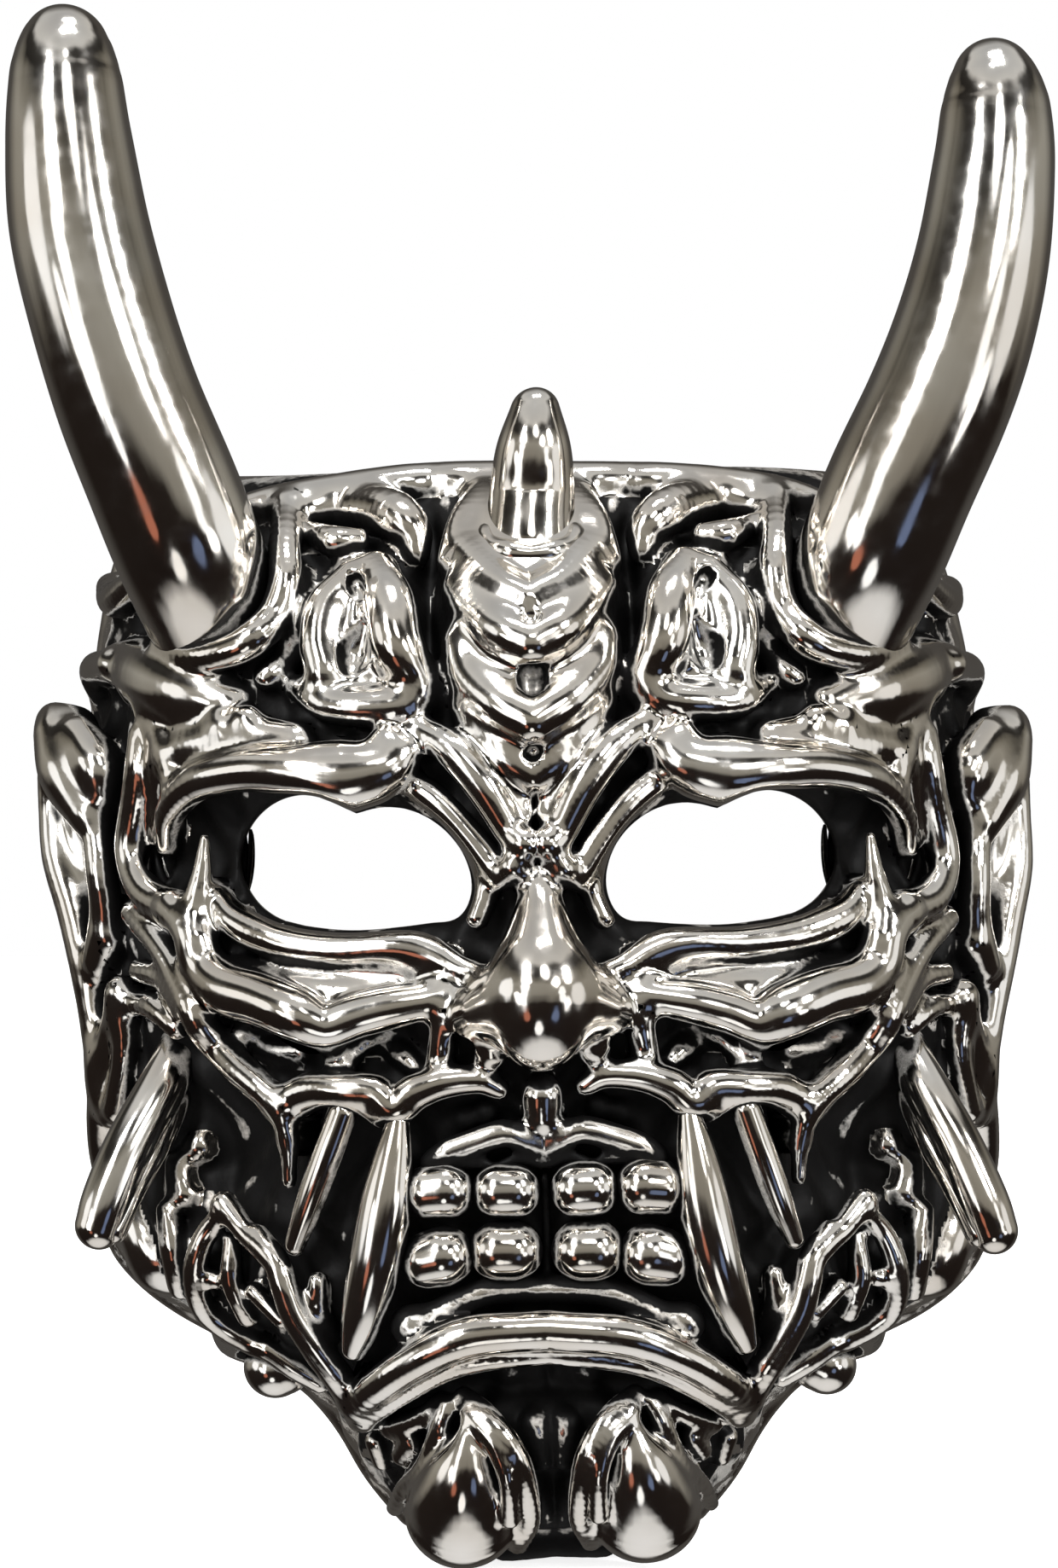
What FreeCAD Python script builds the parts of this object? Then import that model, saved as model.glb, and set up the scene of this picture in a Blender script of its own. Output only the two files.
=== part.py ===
"""A small silver demon mask of the noh kind, put together from separately cast pieces.

A hollow shell with a flat, open back carries everything. Horns, tusks, ears, nose, teeth and chin
bosses are castings with a round peg that passes through the shell's wall. The folds of the face
are cast ridges, bedded on the shell's surface and located by a thin pin of their own.

Millimetres. +Z is up, the face looks along -Y, and the origin is the middle of the flat back rim.
Left and right are sides as seen from the front, so left is towards -X.
"""

import FreeCAD, Part

import math
import os

from FreeCAD import Placement, Rotation, Vector

doc = FreeCAD.newDocument("noh_mask")
sheet = doc.addObject("Spreadsheet::Sheet", "sizes")

# Driving dimensions. A ridge's radius is its thickest one, and its stations take shares of it.
SIZES = {
    "shell_half_width": 13.1,
    "shell_half_height": 16.8,
    "shell_depth": 12.2,
    "shell_wall": 1.2,
    "peg_radius": 0.8,
    "pin_radius": 0.4,
    "peg_proud": 0.3,
    "horn_radius": 2.35,
    "horn_peg_radius": 1.2,
    "middle_horn_radius": 1.45,
    "middle_collar_radius": 1.55,
    "middle_collar_thickness": 0.4,
    "crest_radius": 2.0,
    "chevron_radius": 0.5,
    "rim_radius": 0.75,
    "horn_ridge_radius": 0.75,
    "boss_radius": 1.7,
    "brow_radius": 1.0,
    "fold_radius": 0.6,
    "nose_radius": 1.9,
    "nostril_radius": 0.85,
    "lid_radius": 0.5,
    "cheekbone_radius": 0.95,
    "temple_radius": 0.75,
    "ear_radius": 1.15,
    "ear_knob_radius": 1.1,
    "tusk_radius": 1.1,
    "fang_radius": 0.9,
    "small_fang_radius": 0.5,
    "upper_lip_radius": 0.75,
    "lower_lip_radius": 0.7,
    "gum_radius": 0.5,
    "tooth_radius": 0.84,
    "tooth_half_bar": 0.14,
    "tendon_radius": 0.6,
    "chin_radius": 1.65,
    "post_radius": 0.6,
    "post_length": 2.4,
    "post_head_radius": 1.0,
}
for row, (alias, value) in enumerate(SIZES.items(), start=1):
    sheet.set(f"A{row}", alias.replace("_", " "))
    sheet.set(f"B{row}", str(value))
    sheet.setAlias(f"B{row}", alias)
doc.recompute()


def size(alias):
    """A driving dimension, as a number."""
    return float(sheet.get(alias))


# The shell's level sections, bottom to top: shares of its half height, half width and depth.
SECTIONS = [
    (-1.00, 0.22, 0.50),
    (-0.93, 0.36, 0.74),
    (-0.82, 0.45, 0.88),
    (-0.69, 0.59, 0.95),
    (-0.58, 0.80, 0.98),
    (-0.43, 0.96, 1.00),
    (-0.15, 1.00, 1.00),
    (0.20, 1.00, 1.00),
    (0.50, 1.00, 0.98),
    (0.74, 0.98, 0.90),
    (0.91, 0.90, 0.70),
    (1.00, 0.78, 0.45),
]
ROUNDNESS = 2.3  # 2 would make each level section half an ellipse
ARC_STEPS = 12

# The right eye, clockwise from its inner corner as seen from the front: x and z.
EYE = [
    (2.1, 3.6),
    (2.6, 4.9),
    (3.7, 6.2),
    (5.1, 6.4),
    (6.4, 6.7),
    (7.5, 6.9),
    (8.5, 6.2),
    (8.8, 5.0),
    (8.2, 3.6),
    (7.0, 3.0),
    (5.3, 2.7),
    (3.4, 2.8),
]


def profile(height, column, alias):
    """Half width or depth of the shell at a height, between its level sections."""
    share = height / size("shell_half_height")
    share = min(max(share, SECTIONS[0][0]), SECTIONS[-1][0])
    for low, high in zip(SECTIONS, SECTIONS[1:]):
        if share <= high[0]:
            part_way = (share - low[0]) / (high[0] - low[0])
            return size(alias) * (low[column] + (high[column] - low[column]) * part_way)


def front_y(x, z):
    """How far forward the shell's surface lies at x and z."""
    across = min(abs(x) / profile(z, 1, "shell_half_width"), 0.985)
    return -profile(z, 2, "shell_depth") * (1 - across**ROUNDNESS) ** (1 / ROUNDNESS)


def outward(x, z):
    """The direction straight out of the shell's surface at x and z."""
    step = 0.3
    slope_x = (front_y(x + step, z) - front_y(x - step, z)) / (2 * step)
    slope_z = (front_y(x, z + step) - front_y(x, z - step)) / (2 * step)
    return Vector(slope_x, -1, slope_z).normalize()


def on_face(x, z, lift=0.0):
    """The point at x and z on the shell's surface, raised by lift."""
    return Vector(x, front_y(x, z), z) + outward(x, z) * lift


def plain_feature(name, shape):
    """A document object with a shape made by Part's own functions."""
    feature = doc.addObject("Part::Feature", name)
    feature.Shape = shape
    return feature


def boolean(kind, name, base, tool):
    """A parametric Cut, Fuse or Common of two document objects."""
    feature = doc.addObject(f"Part::{kind}", name)
    feature.Base = base
    feature.Tool = tool
    return feature


def level_section(share, half_share, depth_share, inset, back):
    """The closed wire of one level section, with a straight back edge at y = back."""
    half = size("shell_half_width") * half_share - inset
    depth = size("shell_depth") * depth_share - inset
    z = (size("shell_half_height") - inset) * share
    arc = []
    for step in range(ARC_STEPS + 1):
        turn = math.pi * step / ARC_STEPS
        across = abs(math.cos(turn)) ** (2 / ROUNDNESS)
        forward = abs(math.sin(turn)) ** (2 / ROUNDNESS)
        arc.append(Vector(math.copysign(across * half, math.cos(turn)), -depth * forward, z))
    front = Part.BSplineCurve()
    front.interpolate(arc)
    corners = [arc[-1], Vector(-half, back, z), Vector(half, back, z), arc[0]]
    sides = [Part.makeLine(a, b) for a, b in zip(corners, corners[1:])]
    return Part.Wire([front.toShape()] + sides)


def column(inset, back):
    """The solid through all the level sections."""
    return Part.makeLoft([level_section(*section, inset, back) for section in SECTIONS], True)


def closed_prism(points, length):
    """A solid with a smooth closed outline in the XZ plane, run forwards."""
    curve = Part.BSplineCurve()
    curve.interpolate(points, PeriodicFlag=True)
    return Part.Face(Part.Wire([curve.toShape()])).extrude(Vector(0, -length, 0))


def eye_cutter():
    """The prism that cuts the right eye hole."""
    points = [Vector(x, 0, z) for x, z in EYE]
    return plain_feature("eye_right", closed_prism(points, size("shell_depth") * 2))


def back_half_space():
    """The box that everything of the shell lies in, with its back face on the rim's plane."""
    box = doc.addObject("Part::Box", "rim_plane")
    box.setExpression("Length", "sizes.shell_half_width * 4")
    box.setExpression("Width", "sizes.shell_depth * 2")
    box.setExpression("Height", "sizes.shell_half_height * 4")
    corner = Vector(-2 * size("shell_half_width"), -2 * size("shell_depth"), -2 * size("shell_half_height"))
    box.Placement = Placement(corner, Rotation())
    return box


overrun = size("shell_wall")
rough_form = plain_feature("outer_column", column(0, overrun))
outer = boolean("Common", "outer_form", rough_form, back_half_space())
hollow = plain_feature("hollow", column(size("shell_wall"), overrun))
doc.recompute()

parts = {}
bores = {}
ROUND_END = [(0.35, 0.94), (0.8, 0.6)]  # shares of the radius, and how far out they lie


def ring(point, along, alias, share):
    """One round section of a ridge, square to its path."""
    section = doc.addObject("Part::Circle", "section")
    section.setExpression("Radius", f"sizes.{alias} * {share:.4f}")
    side = along.cross(Vector(0, 1, 0))
    if side.Length < 0.05:
        side = Vector(1, 0, 0)
    section.Placement = Placement(point, Rotation(side, along.cross(side), along, "ZXY"))
    return section


def tube(name, alias, stations):
    """A round bar of changing thickness with round ends. A station is a point and a share."""
    points = [point for point, _ in stations]
    last = len(points) - 1
    ways = [(points[min(i + 1, last)] - points[max(i - 1, 0)]).normalize() for i in range(last + 1)]
    first_share = stations[0][1]
    last_share = stations[-1][1]
    sections = []
    for share, out in ROUND_END:
        end = points[0] - ways[0] * (size(alias) * first_share * out)
        sections.append(ring(end, ways[0], alias, first_share * share))
    sections += [ring(point, way, alias, share) for (point, share), way in zip(stations, ways)]
    for share, out in reversed(ROUND_END):
        end = points[-1] + ways[-1] * (size(alias) * last_share * out)
        sections.append(ring(end, ways[-1], alias, last_share * share))
    loft = doc.addObject("Part::Loft", f"{name}_bar")
    loft.Sections = sections
    loft.Solid = True
    return loft


def face_tube(name, alias, route):
    """A bar along the face. A route's point is x, z, share and lift."""
    return tube(name, alias, [(on_face(x, z, lift), share) for x, z, share, lift in route])


def both_ways(route):
    """A route across the middle, from its right half that starts at the middle."""
    return [(-x, z, share, lift) for x, z, share, lift in reversed(route[1:])] + route


def group(name, pieces):
    """A compound of pieces that don't touch each other."""
    compound = doc.addObject("Part::Compound", name)
    compound.Links = pieces
    return compound


def bed(name, form):
    """Cuts a piece where the shell and the pieces already in place take up the room."""
    piece = boolean("Cut", f"{name}_bedded", form, outer)
    doc.recompute()
    box = piece.Shape.BoundBox
    neighbours = [other for other in parts.values() if other.Shape.BoundBox.intersect(box)]
    if neighbours:
        piece = boolean("Cut", f"{name}_fitted", piece, group(f"{name}_neighbours", neighbours))
        doc.recompute()
    if piece.Shape.isNull() or not piece.Shape.isValid():
        raise RuntimeError(f"{name} does not fit")
    if len(piece.Shape.Solids) > 1:
        piece = plain_feature(f"{name}_main", max(piece.Shape.Solids, key=lambda solid: solid.Volume))
    parts[name] = piece


def peg(name, x, z, alias="peg_radius"):
    """Gives a piece a round peg through the shell's wall, and marks the bore for it."""
    out = outward(x, z)
    inner_end = on_face(x, z) - out * (size("shell_wall") + size("peg_proud"))
    pin = doc.addObject("Part::Cylinder", f"{name}_peg")
    pin.setExpression("Radius", f"sizes.{alias}")
    pin.setExpression("Height", f"sizes.shell_wall + sizes.peg_proud + sizes.{alias}")
    pin.Placement = Placement(inner_end, Rotation(Vector(0, 0, 1), out))
    parts[name] = boolean("Fuse", f"{name}_with_peg", parts[name], pin)
    bores[name] = pin
    doc.recompute()


def mirrored(name, source):
    """The left twin of a right-hand object."""
    twin = doc.addObject("Part::Mirroring", name)
    twin.Source = source
    twin.Normal = Vector(1, 0, 0)
    return twin


def pair(name, form, x, z, alias="peg_radius"):
    """Beds the right-hand piece, gives it its peg, and adds its left twin."""
    bed(f"{name}_right", form)
    peg(f"{name}_right", x, z, alias)
    add_twin(name)


def add_twin(name):
    """Adds the left twin of a right-hand piece and of its bore."""
    parts[f"{name}_left"] = mirrored(f"{name}_left_twin", parts[f"{name}_right"])
    bores[f"{name}_left"] = mirrored(f"{name}_left_bore", bores[f"{name}_right"])
    doc.recompute()


def middle_horn():
    """The short horn over the crest, and the collar that it stands in."""
    root = on_face(0, 15.4, 1.3)
    stations = [
        (on_face(0, 14.2, 0.3), 1.0),
        (root, 0.9),
        (root + Vector(0, -0.2, 2.0), 0.72),
        (root + Vector(0, -0.1, 3.4), 0.42),
    ]
    bed("middle_horn", tube("middle_horn", "middle_horn_radius", stations))
    peg("middle_horn", 0, 14.2)
    collar = doc.addObject("Part::Torus", "middle_collar_ring")
    collar.setExpression("Radius1", "sizes.middle_collar_radius")
    collar.setExpression("Radius2", "sizes.middle_collar_thickness")
    collar.Placement = Placement(on_face(0, 14.0, 0.7), Rotation(Vector(0, 0, 1), Vector(0, -0.5, 0.8)))
    bed("middle_horn_collar", collar)


def crest():
    """The raised tongue down the forehead, with a stack of V-shaped ribs across it."""
    tongue = [(0, 13.2, 0.8, -0.9), (0, 11.4, 1.0, -1.0), (0, 9.6, 0.85, -0.7), (0, 8.0, 0.5, -0.3)]
    form = face_tube("crest", "crest_radius", tongue)
    for count, z in enumerate((12.3, 11.1, 9.9, 8.7)):
        reach = 2.2 - 0.3 * count
        rib = [(0, z - 0.9, 1.0, 1.0), (reach / 2, z - 0.3, 1.0, 0.75), (reach, z + 0.7, 0.8, 0.1)]
        bar = face_tube(f"chevron_{count + 1}", "chevron_radius", both_ways(rib))
        form = boolean("Fuse", f"crest_with_rib_{count + 1}", form, bar)
    bed("crest", form)
    peg("crest", 0, 10.6)


# Ridges that cross the middle: the size, the right half of the route, and where the pegs are.
MIDDLE_RIDGES = {
    "forehead_rim": ("rim_radius", [(0, 15.7, 1.0, 0.1), (3.0, 15.6, 1.0, 0.1), (6.0, 15.3, 1.0, 0.1),
                                    (8.6, 14.8, 0.8, 0.0)], (6.0, 15.2)),
    "upper_gum": ("gum_radius", [(0, -3.8, 0.9, 0.1), (1.3, -3.5, 1.0, 0.2), (3.4, -3.7, 0.8, 0.1)],
                  (1.3, -3.5)),
    "lower_gum": ("gum_radius", [(0, -8.5, 1.0, 0.2), (2.0, -8.7, 1.0, 0.2), (3.9, -9.4, 0.8, 0.1)],
                  (2.0, -8.7)),
    "lower_lip": ("lower_lip_radius", [(0, -10.0, 1.0, 0.3), (2.2, -10.2, 1.0, 0.3), (4.0, -10.9, 0.95, 0.3),
                                       (5.3, -12.0, 0.7, 0.2)], (2.2, -10.2)),
}

# Ridges that come in a left and a right: the size, the route of the right one, and its peg.
PAIRED_RIDGES = {
    "horn_ridge": ("horn_ridge_radius", [(7.2, 14.6, 0.7, 0.1), (6.9, 12.6, 1.0, 0.2), (7.5, 10.6, 1.0, 0.3),
                                         (9.4, 9.3, 1.0, 0.3), (11.6, 9.6, 0.7, 0.2)],
                   (7.5, 10.6, "pin_radius")),
    "forehead_boss": ("boss_radius", [(4.4, 13.2, 0.5, -0.2), (4.5, 11.6, 1.0, -0.4), (4.6, 10.0, 0.9, -0.4),
                                      (4.0, 8.9, 0.5, -0.2)], (4.5, 11.2, "peg_radius")),
    "brow": ("brow_radius", [(11.7, 4.8, 0.4, 0.1), (11.1, 6.6, 0.8, 0.2), (9.3, 7.7, 1.0, 0.3),
                             (6.4, 7.7, 1.0, 0.4), (4.6, 7.3, 0.9, 0.4), (3.2, 7.9, 0.6, 0.2)],
             (9.3, 7.7, "pin_radius")),
    "bridge_fold": ("fold_radius", [(2.4, 6.6, 0.7, 0.2), (1.7, 5.6, 0.9, 0.3), (0.9, 4.7, 0.8, 0.3)],
                    (1.7, 5.6, "pin_radius")),
    "cheekbone": ("cheekbone_radius", [(12.3, 3.8, 0.5, 0.1), (10.8, 2.8, 0.9, 0.3), (9.6, 0.9, 1.0, 0.4),
                                       (7.7, 0.1, 1.0, 0.4), (5.7, -0.2, 0.9, 0.3), (3.9, 0.6, 0.6, 0.2)],
                  (7.7, 0.1, "pin_radius")),
    "lower_lid": ("lid_radius", [(8.7, 2.0, 0.6, 0.1), (6.9, 1.9, 1.0, 0.2), (4.9, 1.8, 1.0, 0.2),
                                 (3.0, 1.9, 0.8, 0.1)], (4.9, 1.8, "pin_radius")),
    "temple_ridge": ("temple_radius", [(12.1, 8.6, 0.6, 0.1), (12.5, 6.6, 1.0, 0.2), (12.6, 4.6, 0.8, 0.1)],
                     (12.4, 6.4, "pin_radius")),
    "smile_fold": ("fold_radius", [(9.6, -1.2, 0.7, 0.1), (8.9, -2.9, 1.0, 0.3), (7.9, -4.6, 0.6, 0.1)],
                   (8.9, -2.9, "pin_radius")),
    "long_fang": ("fang_radius", [(4.5, -3.2, 0.7, 0.6), (4.9, -5.4, 1.0, 0.9), (5.6, -8.0, 0.75, 1.0),
                                  (6.2, -9.9, 0.4, 0.9)], (4.9, -5.4, "pin_radius")),
    "short_fang": ("small_fang_radius", [(6.4, -3.3, 0.9, 0.4), (7.0, -5.0, 1.0, 0.5), (7.6, -6.5, 0.6, 0.5)],
                   (7.0, -4.8, "pin_radius")),
    "upper_lip": ("upper_lip_radius", [(7.6, -2.2, 0.6, 0.2), (6.1, -2.1, 1.0, 0.3), (4.3, -2.1, 1.0, 0.4),
                                       (2.6, -1.9, 0.9, 0.3), (1.1, -2.4, 0.6, 0.2)],
                  (6.1, -2.1, "pin_radius")),
    "jaw_tendon": ("tendon_radius", [(6.3, -11.4, 0.8, 0.2), (7.6, -9.3, 1.0, 0.2), (8.6, -7.0, 1.0, 0.2),
                                     (9.7, -5.5, 0.6, 0.1)], (8.3, -7.7, "pin_radius")),
    "chin_boss": ("chin_radius", [(2.6, -11.9, 0.35, 0.1), (2.8, -13.3, 0.8, 0.1), (3.0, -14.6, 1.0, 0.1)],
                  (2.8, -13.4, "peg_radius")),
}


def middle_ridges():
    """Every ridge of the first list, with one pin on each side."""
    for name, (alias, route, (x, z)) in MIDDLE_RIDGES.items():
        bed(name, face_tube(name, alias, both_ways(route)))
        peg(name, x, z, "pin_radius")
        right_pin = bores[name]
        left_pin = mirrored(f"{name}_left_pin", right_pin)
        parts[name] = boolean("Fuse", f"{name}_with_pins", parts[name], left_pin)
        bores[f"{name}_left"] = left_pin
        doc.recompute()


def paired_ridges():
    """Every ridge of the second list, on both sides."""
    for name, (alias, route, peg_place) in PAIRED_RIDGES.items():
        pair(name, face_tube(name, alias, route), *peg_place)


def horns():
    """The two long horns: out sideways, then straight up."""
    stations = [
        (Vector(9.9, -9.2, 12.2), 1.0),
        (Vector(11.2, -9.6, 16.2), 1.02),
        (Vector(12.7, -9.4, 20.2), 0.96),
        (Vector(13.9, -8.9, 24.2), 0.84),
        (Vector(14.2, -8.4, 27.4), 0.7),
        (Vector(14.0, -8.1, 29.6), 0.54),
    ]
    pair("horn", tube("horn", "horn_radius", stations), 9.9, 12.2, "horn_peg_radius")


def nose():
    """The drop-shaped nose, and a round wing on each side of it."""
    route = [(0, 3.6, 0.3, 0.3), (0, 2.2, 0.6, 0.9), (0, 0.6, 1.0, 1.3), (0, -0.6, 0.75, 1.1)]
    bed("nose", face_tube("nose", "nose_radius", route))
    peg("nose", 0, 0.6)
    ball = doc.addObject("Part::Sphere", "nostril_ball")
    ball.setExpression("Radius", "sizes.nostril_radius")
    ball.Placement = Placement(on_face(2.1, 0.0, 0.4), Rotation())
    pair("nostril", ball, 2.3, 0.0, "pin_radius")


def ears():
    """The ears, set back at the sides: a long lobe that narrows downwards under a round knob."""
    stations = [
        (Vector(13.9, -4.2, 7.2), 0.8),
        (Vector(14.2, -4.6, 5.2), 1.0),
        (Vector(14.1, -4.8, 2.6), 1.0),
        (Vector(13.7, -4.8, 0.0), 0.85),
        (Vector(13.4, -4.6, -1.9), 0.55),
    ]
    lobe = tube("ear", "ear_radius", stations)
    knob = doc.addObject("Part::Sphere", "ear_knob")
    knob.setExpression("Radius", "sizes.ear_knob_radius")
    knob.Placement = Placement(Vector(14.3, -4.2, 8.0), Rotation())
    pair("ear", boolean("Fuse", "ear_form", lobe, knob), 12.55, 3.0)


def tusks():
    """The big tusks that grow from the cheekbones, down and outwards."""
    root = on_face(10.7, -0.9, 0.4)
    stations = [
        (root, 0.9),
        (root + Vector(1.2, -0.9, -1.7), 1.0),
        (root + Vector(2.3, -1.1, -3.9), 0.8),
        (root + Vector(3.0, -1.0, -5.6), 0.5),
    ]
    pair("tusk", tube("tusk", "tusk_radius", stations), 10.7, -0.9)


def teeth():
    """Two rows of four bead-like front teeth."""
    for row_name, z in (("upper", -5.2), ("lower", -7.2)):
        for place, x in (("middle", 1.1), ("side", 3.1)):
            name = f"{row_name}_{place}_tooth"
            half = size("tooth_half_bar")
            route = [(x - half, z, 1.0, 0.35), (x + half, z, 1.0, 0.35)]
            pair(name, face_tube(name, "tooth_radius", route), x, z, "pin_radius")


def cord_posts():
    """The headed posts low on the jaw, which a cord can be looped round."""
    out = Vector(0.62, 0, -0.78).normalize()
    head_centre = Vector(8.3, -3.6, -11.4)
    stem = doc.addObject("Part::Cylinder", "cord_post_stem")
    stem.setExpression("Radius", "sizes.post_radius")
    stem.setExpression("Height", "sizes.post_length")
    stem.Placement = Placement(head_centre - out * size("post_length"), Rotation(Vector(0, 0, 1), out))
    head = doc.addObject("Part::Sphere", "cord_post_head")
    head.setExpression("Radius", "sizes.post_head_radius")
    head.Placement = Placement(head_centre, Rotation())
    bed("cord_post_right", head)
    parts["cord_post_right"] = boolean("Fuse", "cord_post_form", parts["cord_post_right"], stem)
    bores["cord_post_right"] = stem
    add_twin("cord_post")


def face_shell():
    """The shell itself, hollowed, with its eye holes and a bore for every peg."""
    shell = boolean("Cut", "hollow_form", outer, hollow)
    eye_right = eye_cutter()
    for eye in (eye_right, mirrored("eye_left", eye_right)):
        shell = boolean("Cut", "shell_with_eye", shell, eye)
    parts["face_shell"] = boolean("Cut", "bored_shell", shell, group("all_bores", list(bores.values())))


def write_parts():
    """Checks every object of the document, and writes each piece under its own name."""
    doc.recompute()
    for item in doc.Objects:
        if {"Invalid", "Error"} & set(item.State):
            raise RuntimeError(f"{item.Name} failed: {item.State}")
    for name, piece in parts.items():
        piece.Label = name
        shape = piece.Shape
        if piece.Label != name or shape.isNull() or not shape.isValid() or len(shape.Solids) != 1:
            raise RuntimeError(f"{name} is not one sound solid")
        print(f"{name}: {shape.Volume:.2f} mm3")
    os.makedirs("parts", exist_ok=True)
    for name, piece in parts.items():
        piece.Shape.exportStep(f"parts/{name}.step")


crest()
middle_horn()
nose()
middle_ridges()
teeth()
horns()
ears()
tusks()
paired_ridges()
cord_posts()
face_shell()
write_parts()
print(len(parts), "pieces")
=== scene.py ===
"""The looks of a small cast-silver demon mask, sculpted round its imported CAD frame.

The face is one sculpted surface, worked out as a distance field in millimetres: a hollow base form,
with ridges and beads drawn on it as tapered strokes that melt into each other like soldered silver.
The surface is then cut up by stroke, so that every casting of the mask is a closed piece of its own.
The horns are swept bars. The right half is drawn and mirrored. Lengths are millimetres until a mesh
is made, and x, z, radius and lift are the usual four numbers of a point of a stroke.
"""
import math

import bpy
import numpy as np
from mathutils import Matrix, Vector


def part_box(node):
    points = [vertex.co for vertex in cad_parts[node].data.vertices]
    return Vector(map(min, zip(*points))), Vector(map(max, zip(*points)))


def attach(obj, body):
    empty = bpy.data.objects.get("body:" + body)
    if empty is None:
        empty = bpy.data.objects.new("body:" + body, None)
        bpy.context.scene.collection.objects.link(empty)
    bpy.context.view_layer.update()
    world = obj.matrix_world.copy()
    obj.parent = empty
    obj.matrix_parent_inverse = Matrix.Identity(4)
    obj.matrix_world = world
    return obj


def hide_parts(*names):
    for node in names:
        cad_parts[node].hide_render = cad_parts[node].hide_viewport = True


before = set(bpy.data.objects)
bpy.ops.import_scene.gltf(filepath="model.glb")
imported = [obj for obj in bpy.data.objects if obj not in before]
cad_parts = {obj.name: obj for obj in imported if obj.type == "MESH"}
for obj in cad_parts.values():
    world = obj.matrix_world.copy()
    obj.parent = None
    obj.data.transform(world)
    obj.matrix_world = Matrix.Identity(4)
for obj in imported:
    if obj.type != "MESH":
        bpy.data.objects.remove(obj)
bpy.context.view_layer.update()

import openvdb
from mathutils import Vector

MM = 0.001
VOXEL = 0.15
WALL = 1.3
OUTER_SHARE = 0.6  # the share of the wall that counts as its outside
EYE_CUT_DEPTH = 3.0  # the eye holes are only cut in front of this depth
FAR_INSIDE = -9.0
UNDERLAP = 0.25  # how far a casting reaches into the ground under it
THINNEST = 0.1  # the least thickness of a casting
GROUND_UNDER_CASTINGS = 0.5  # how deep the shell lies under the castings on it
FULLNESS = 1.36  # how much fatter the face's strokes are than their drawn radii
RAISE = 1.25  # how much prouder they stand than their drawn lifts
LUMP_HEIGHT = 0.2
SPACING = 0.22  # between the samples of a stroke
FINE_SPACING = 0.12  # between the rings of a swept bar
MELT = 0.4  # the reach over which a stroke melts into what it lies on
SOFT_MELT = 0.55
SOFT_OWNERS = ("nose", "crest", "forehead_boss", "brow")
FREE_MELT = 0.5
CARVE_MELT = 0.15
STANDING_MELT = 0.1
STANDING_SHADE = 0.75  # standing castings are easier to polish down to their feet,
SHELL_SHADE = 0.8  # and the shell's ground a little easier
BLACKENED = 0.7  # how black the ground between the ridges is left
LUMP_SHINE = 0.44  # how much of that is polished off the tops of its lumps
NEIGHBOUR_ROUNDS = 12  # rounds of voting that smooth the borders between castings
LEAN, LEAN_MIDDLE, LEAN_REACH = 0.36, -1, 11  # the sideways drift of the top and the chin
BROADENING = 1.035  # how much wider the sculpted base form is than the CAD's shell
ROUNDNESS = 2.3  # 2 would make each level section of the base form half an ellipse

shell_low, shell_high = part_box("face_shell")
HALF_WIDTH = shell_high.x / MM * BROADENING
HALF_HEIGHT = shell_high.z / MM
DEPTH = -shell_low.y / MM

SLOTS = {name: "oxidised_silver" for name in ("face_shell", "upper_gum", "lower_gum")}

# The base form's level sections: height, half width and depth, as shares of the shell's own.
SECTIONS = [
    (-1.00, 0.25, 0.50),
    (-0.93, 0.37, 0.74),
    (-0.82, 0.45, 0.86),
    (-0.72, 0.51, 0.90),
    (-0.63, 0.66, 0.91),
    (-0.55, 0.86, 0.92),
    (-0.49, 0.99, 0.92),
    (-0.42, 1.00, 0.93),
    (-0.20, 1.00, 0.95),
    (0.05, 1.00, 0.96),
    (0.25, 1.00, 0.95),
    (0.50, 1.00, 0.95),
    (0.68, 0.98, 0.90),
    (0.85, 0.93, 0.76),
    (0.95, 0.88, 0.60),
    (1.00, 0.84, 0.50),
]

# Soft hollows (and, below nought, swellings) of the base form: x, z, spread in x and z, and depth.
HOLLOWS = [
    (5.6, 4.6, 3.4, 2.2, 0.9),
    (10.9, 5.2, 1.0, 1.8, 0.7),
    (6.5, 1.4, 3.0, 0.8, 0.6),
    (9.4, -4.2, 1.6, 2.4, 1.7),
    (8.3, -0.9, 1.6, 0.6, 0.7),
    (4.6, -0.8, 0.9, 0.7, 0.8),
    (0.0, -6.3, 4.6, 2.6, 0.3),
    (0.0, -11.0, 3.2, 0.7, 1.0),
    (0.0, -14.5, 0.8, 2.2, 0.3),
    (3.0, 12.3, 0.5, 2.6, 0.9),
    (5.6, 15.0, 1.3, 0.6, 0.9),
    (7.1, 11.0, 0.5, 1.6, 0.6),
    (0.0, 0.8, 2.4, 2.6, -0.6),
    (7.6, 7.8, 3.6, 0.8, -0.4),
    (7.6, 0.2, 3.0, 0.8, -0.4),
]

# Ground that has been rubbed bright again, in the same way: x, z, spread in x and z.
RUBBED = [
    (0.4, -13.8, 0.9, 2.2),
    (3.0, 14.6, 0.9, 1.6),
    (9.0, 13.5, 1.2, 1.0),
    (7.6, 10.4, 0.7, 0.8),
]

# The right eye hole, as discs along a line from its inner to its outer end: x, z and radius.
EYE_LINE = [(2.85, 3.5, 0.6), (3.3, 4.1, 1.2), (4.3, 4.55, 1.75), (5.7, 4.42, 1.66), (7.1, 4.85, 1.93)]


def smooth_min(a, b, reach):
    """The lower of two fields, melted together over a reach."""
    share = np.clip(0.5 + 0.5 * (b - a) / reach, 0, 1)
    return b + (a - b) * share - reach * share * (1 - share)


def smooth_max(a, b, reach):
    """The higher of two fields, with the corner rounded over a reach."""
    return -smooth_min(-a, -b, reach)


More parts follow.
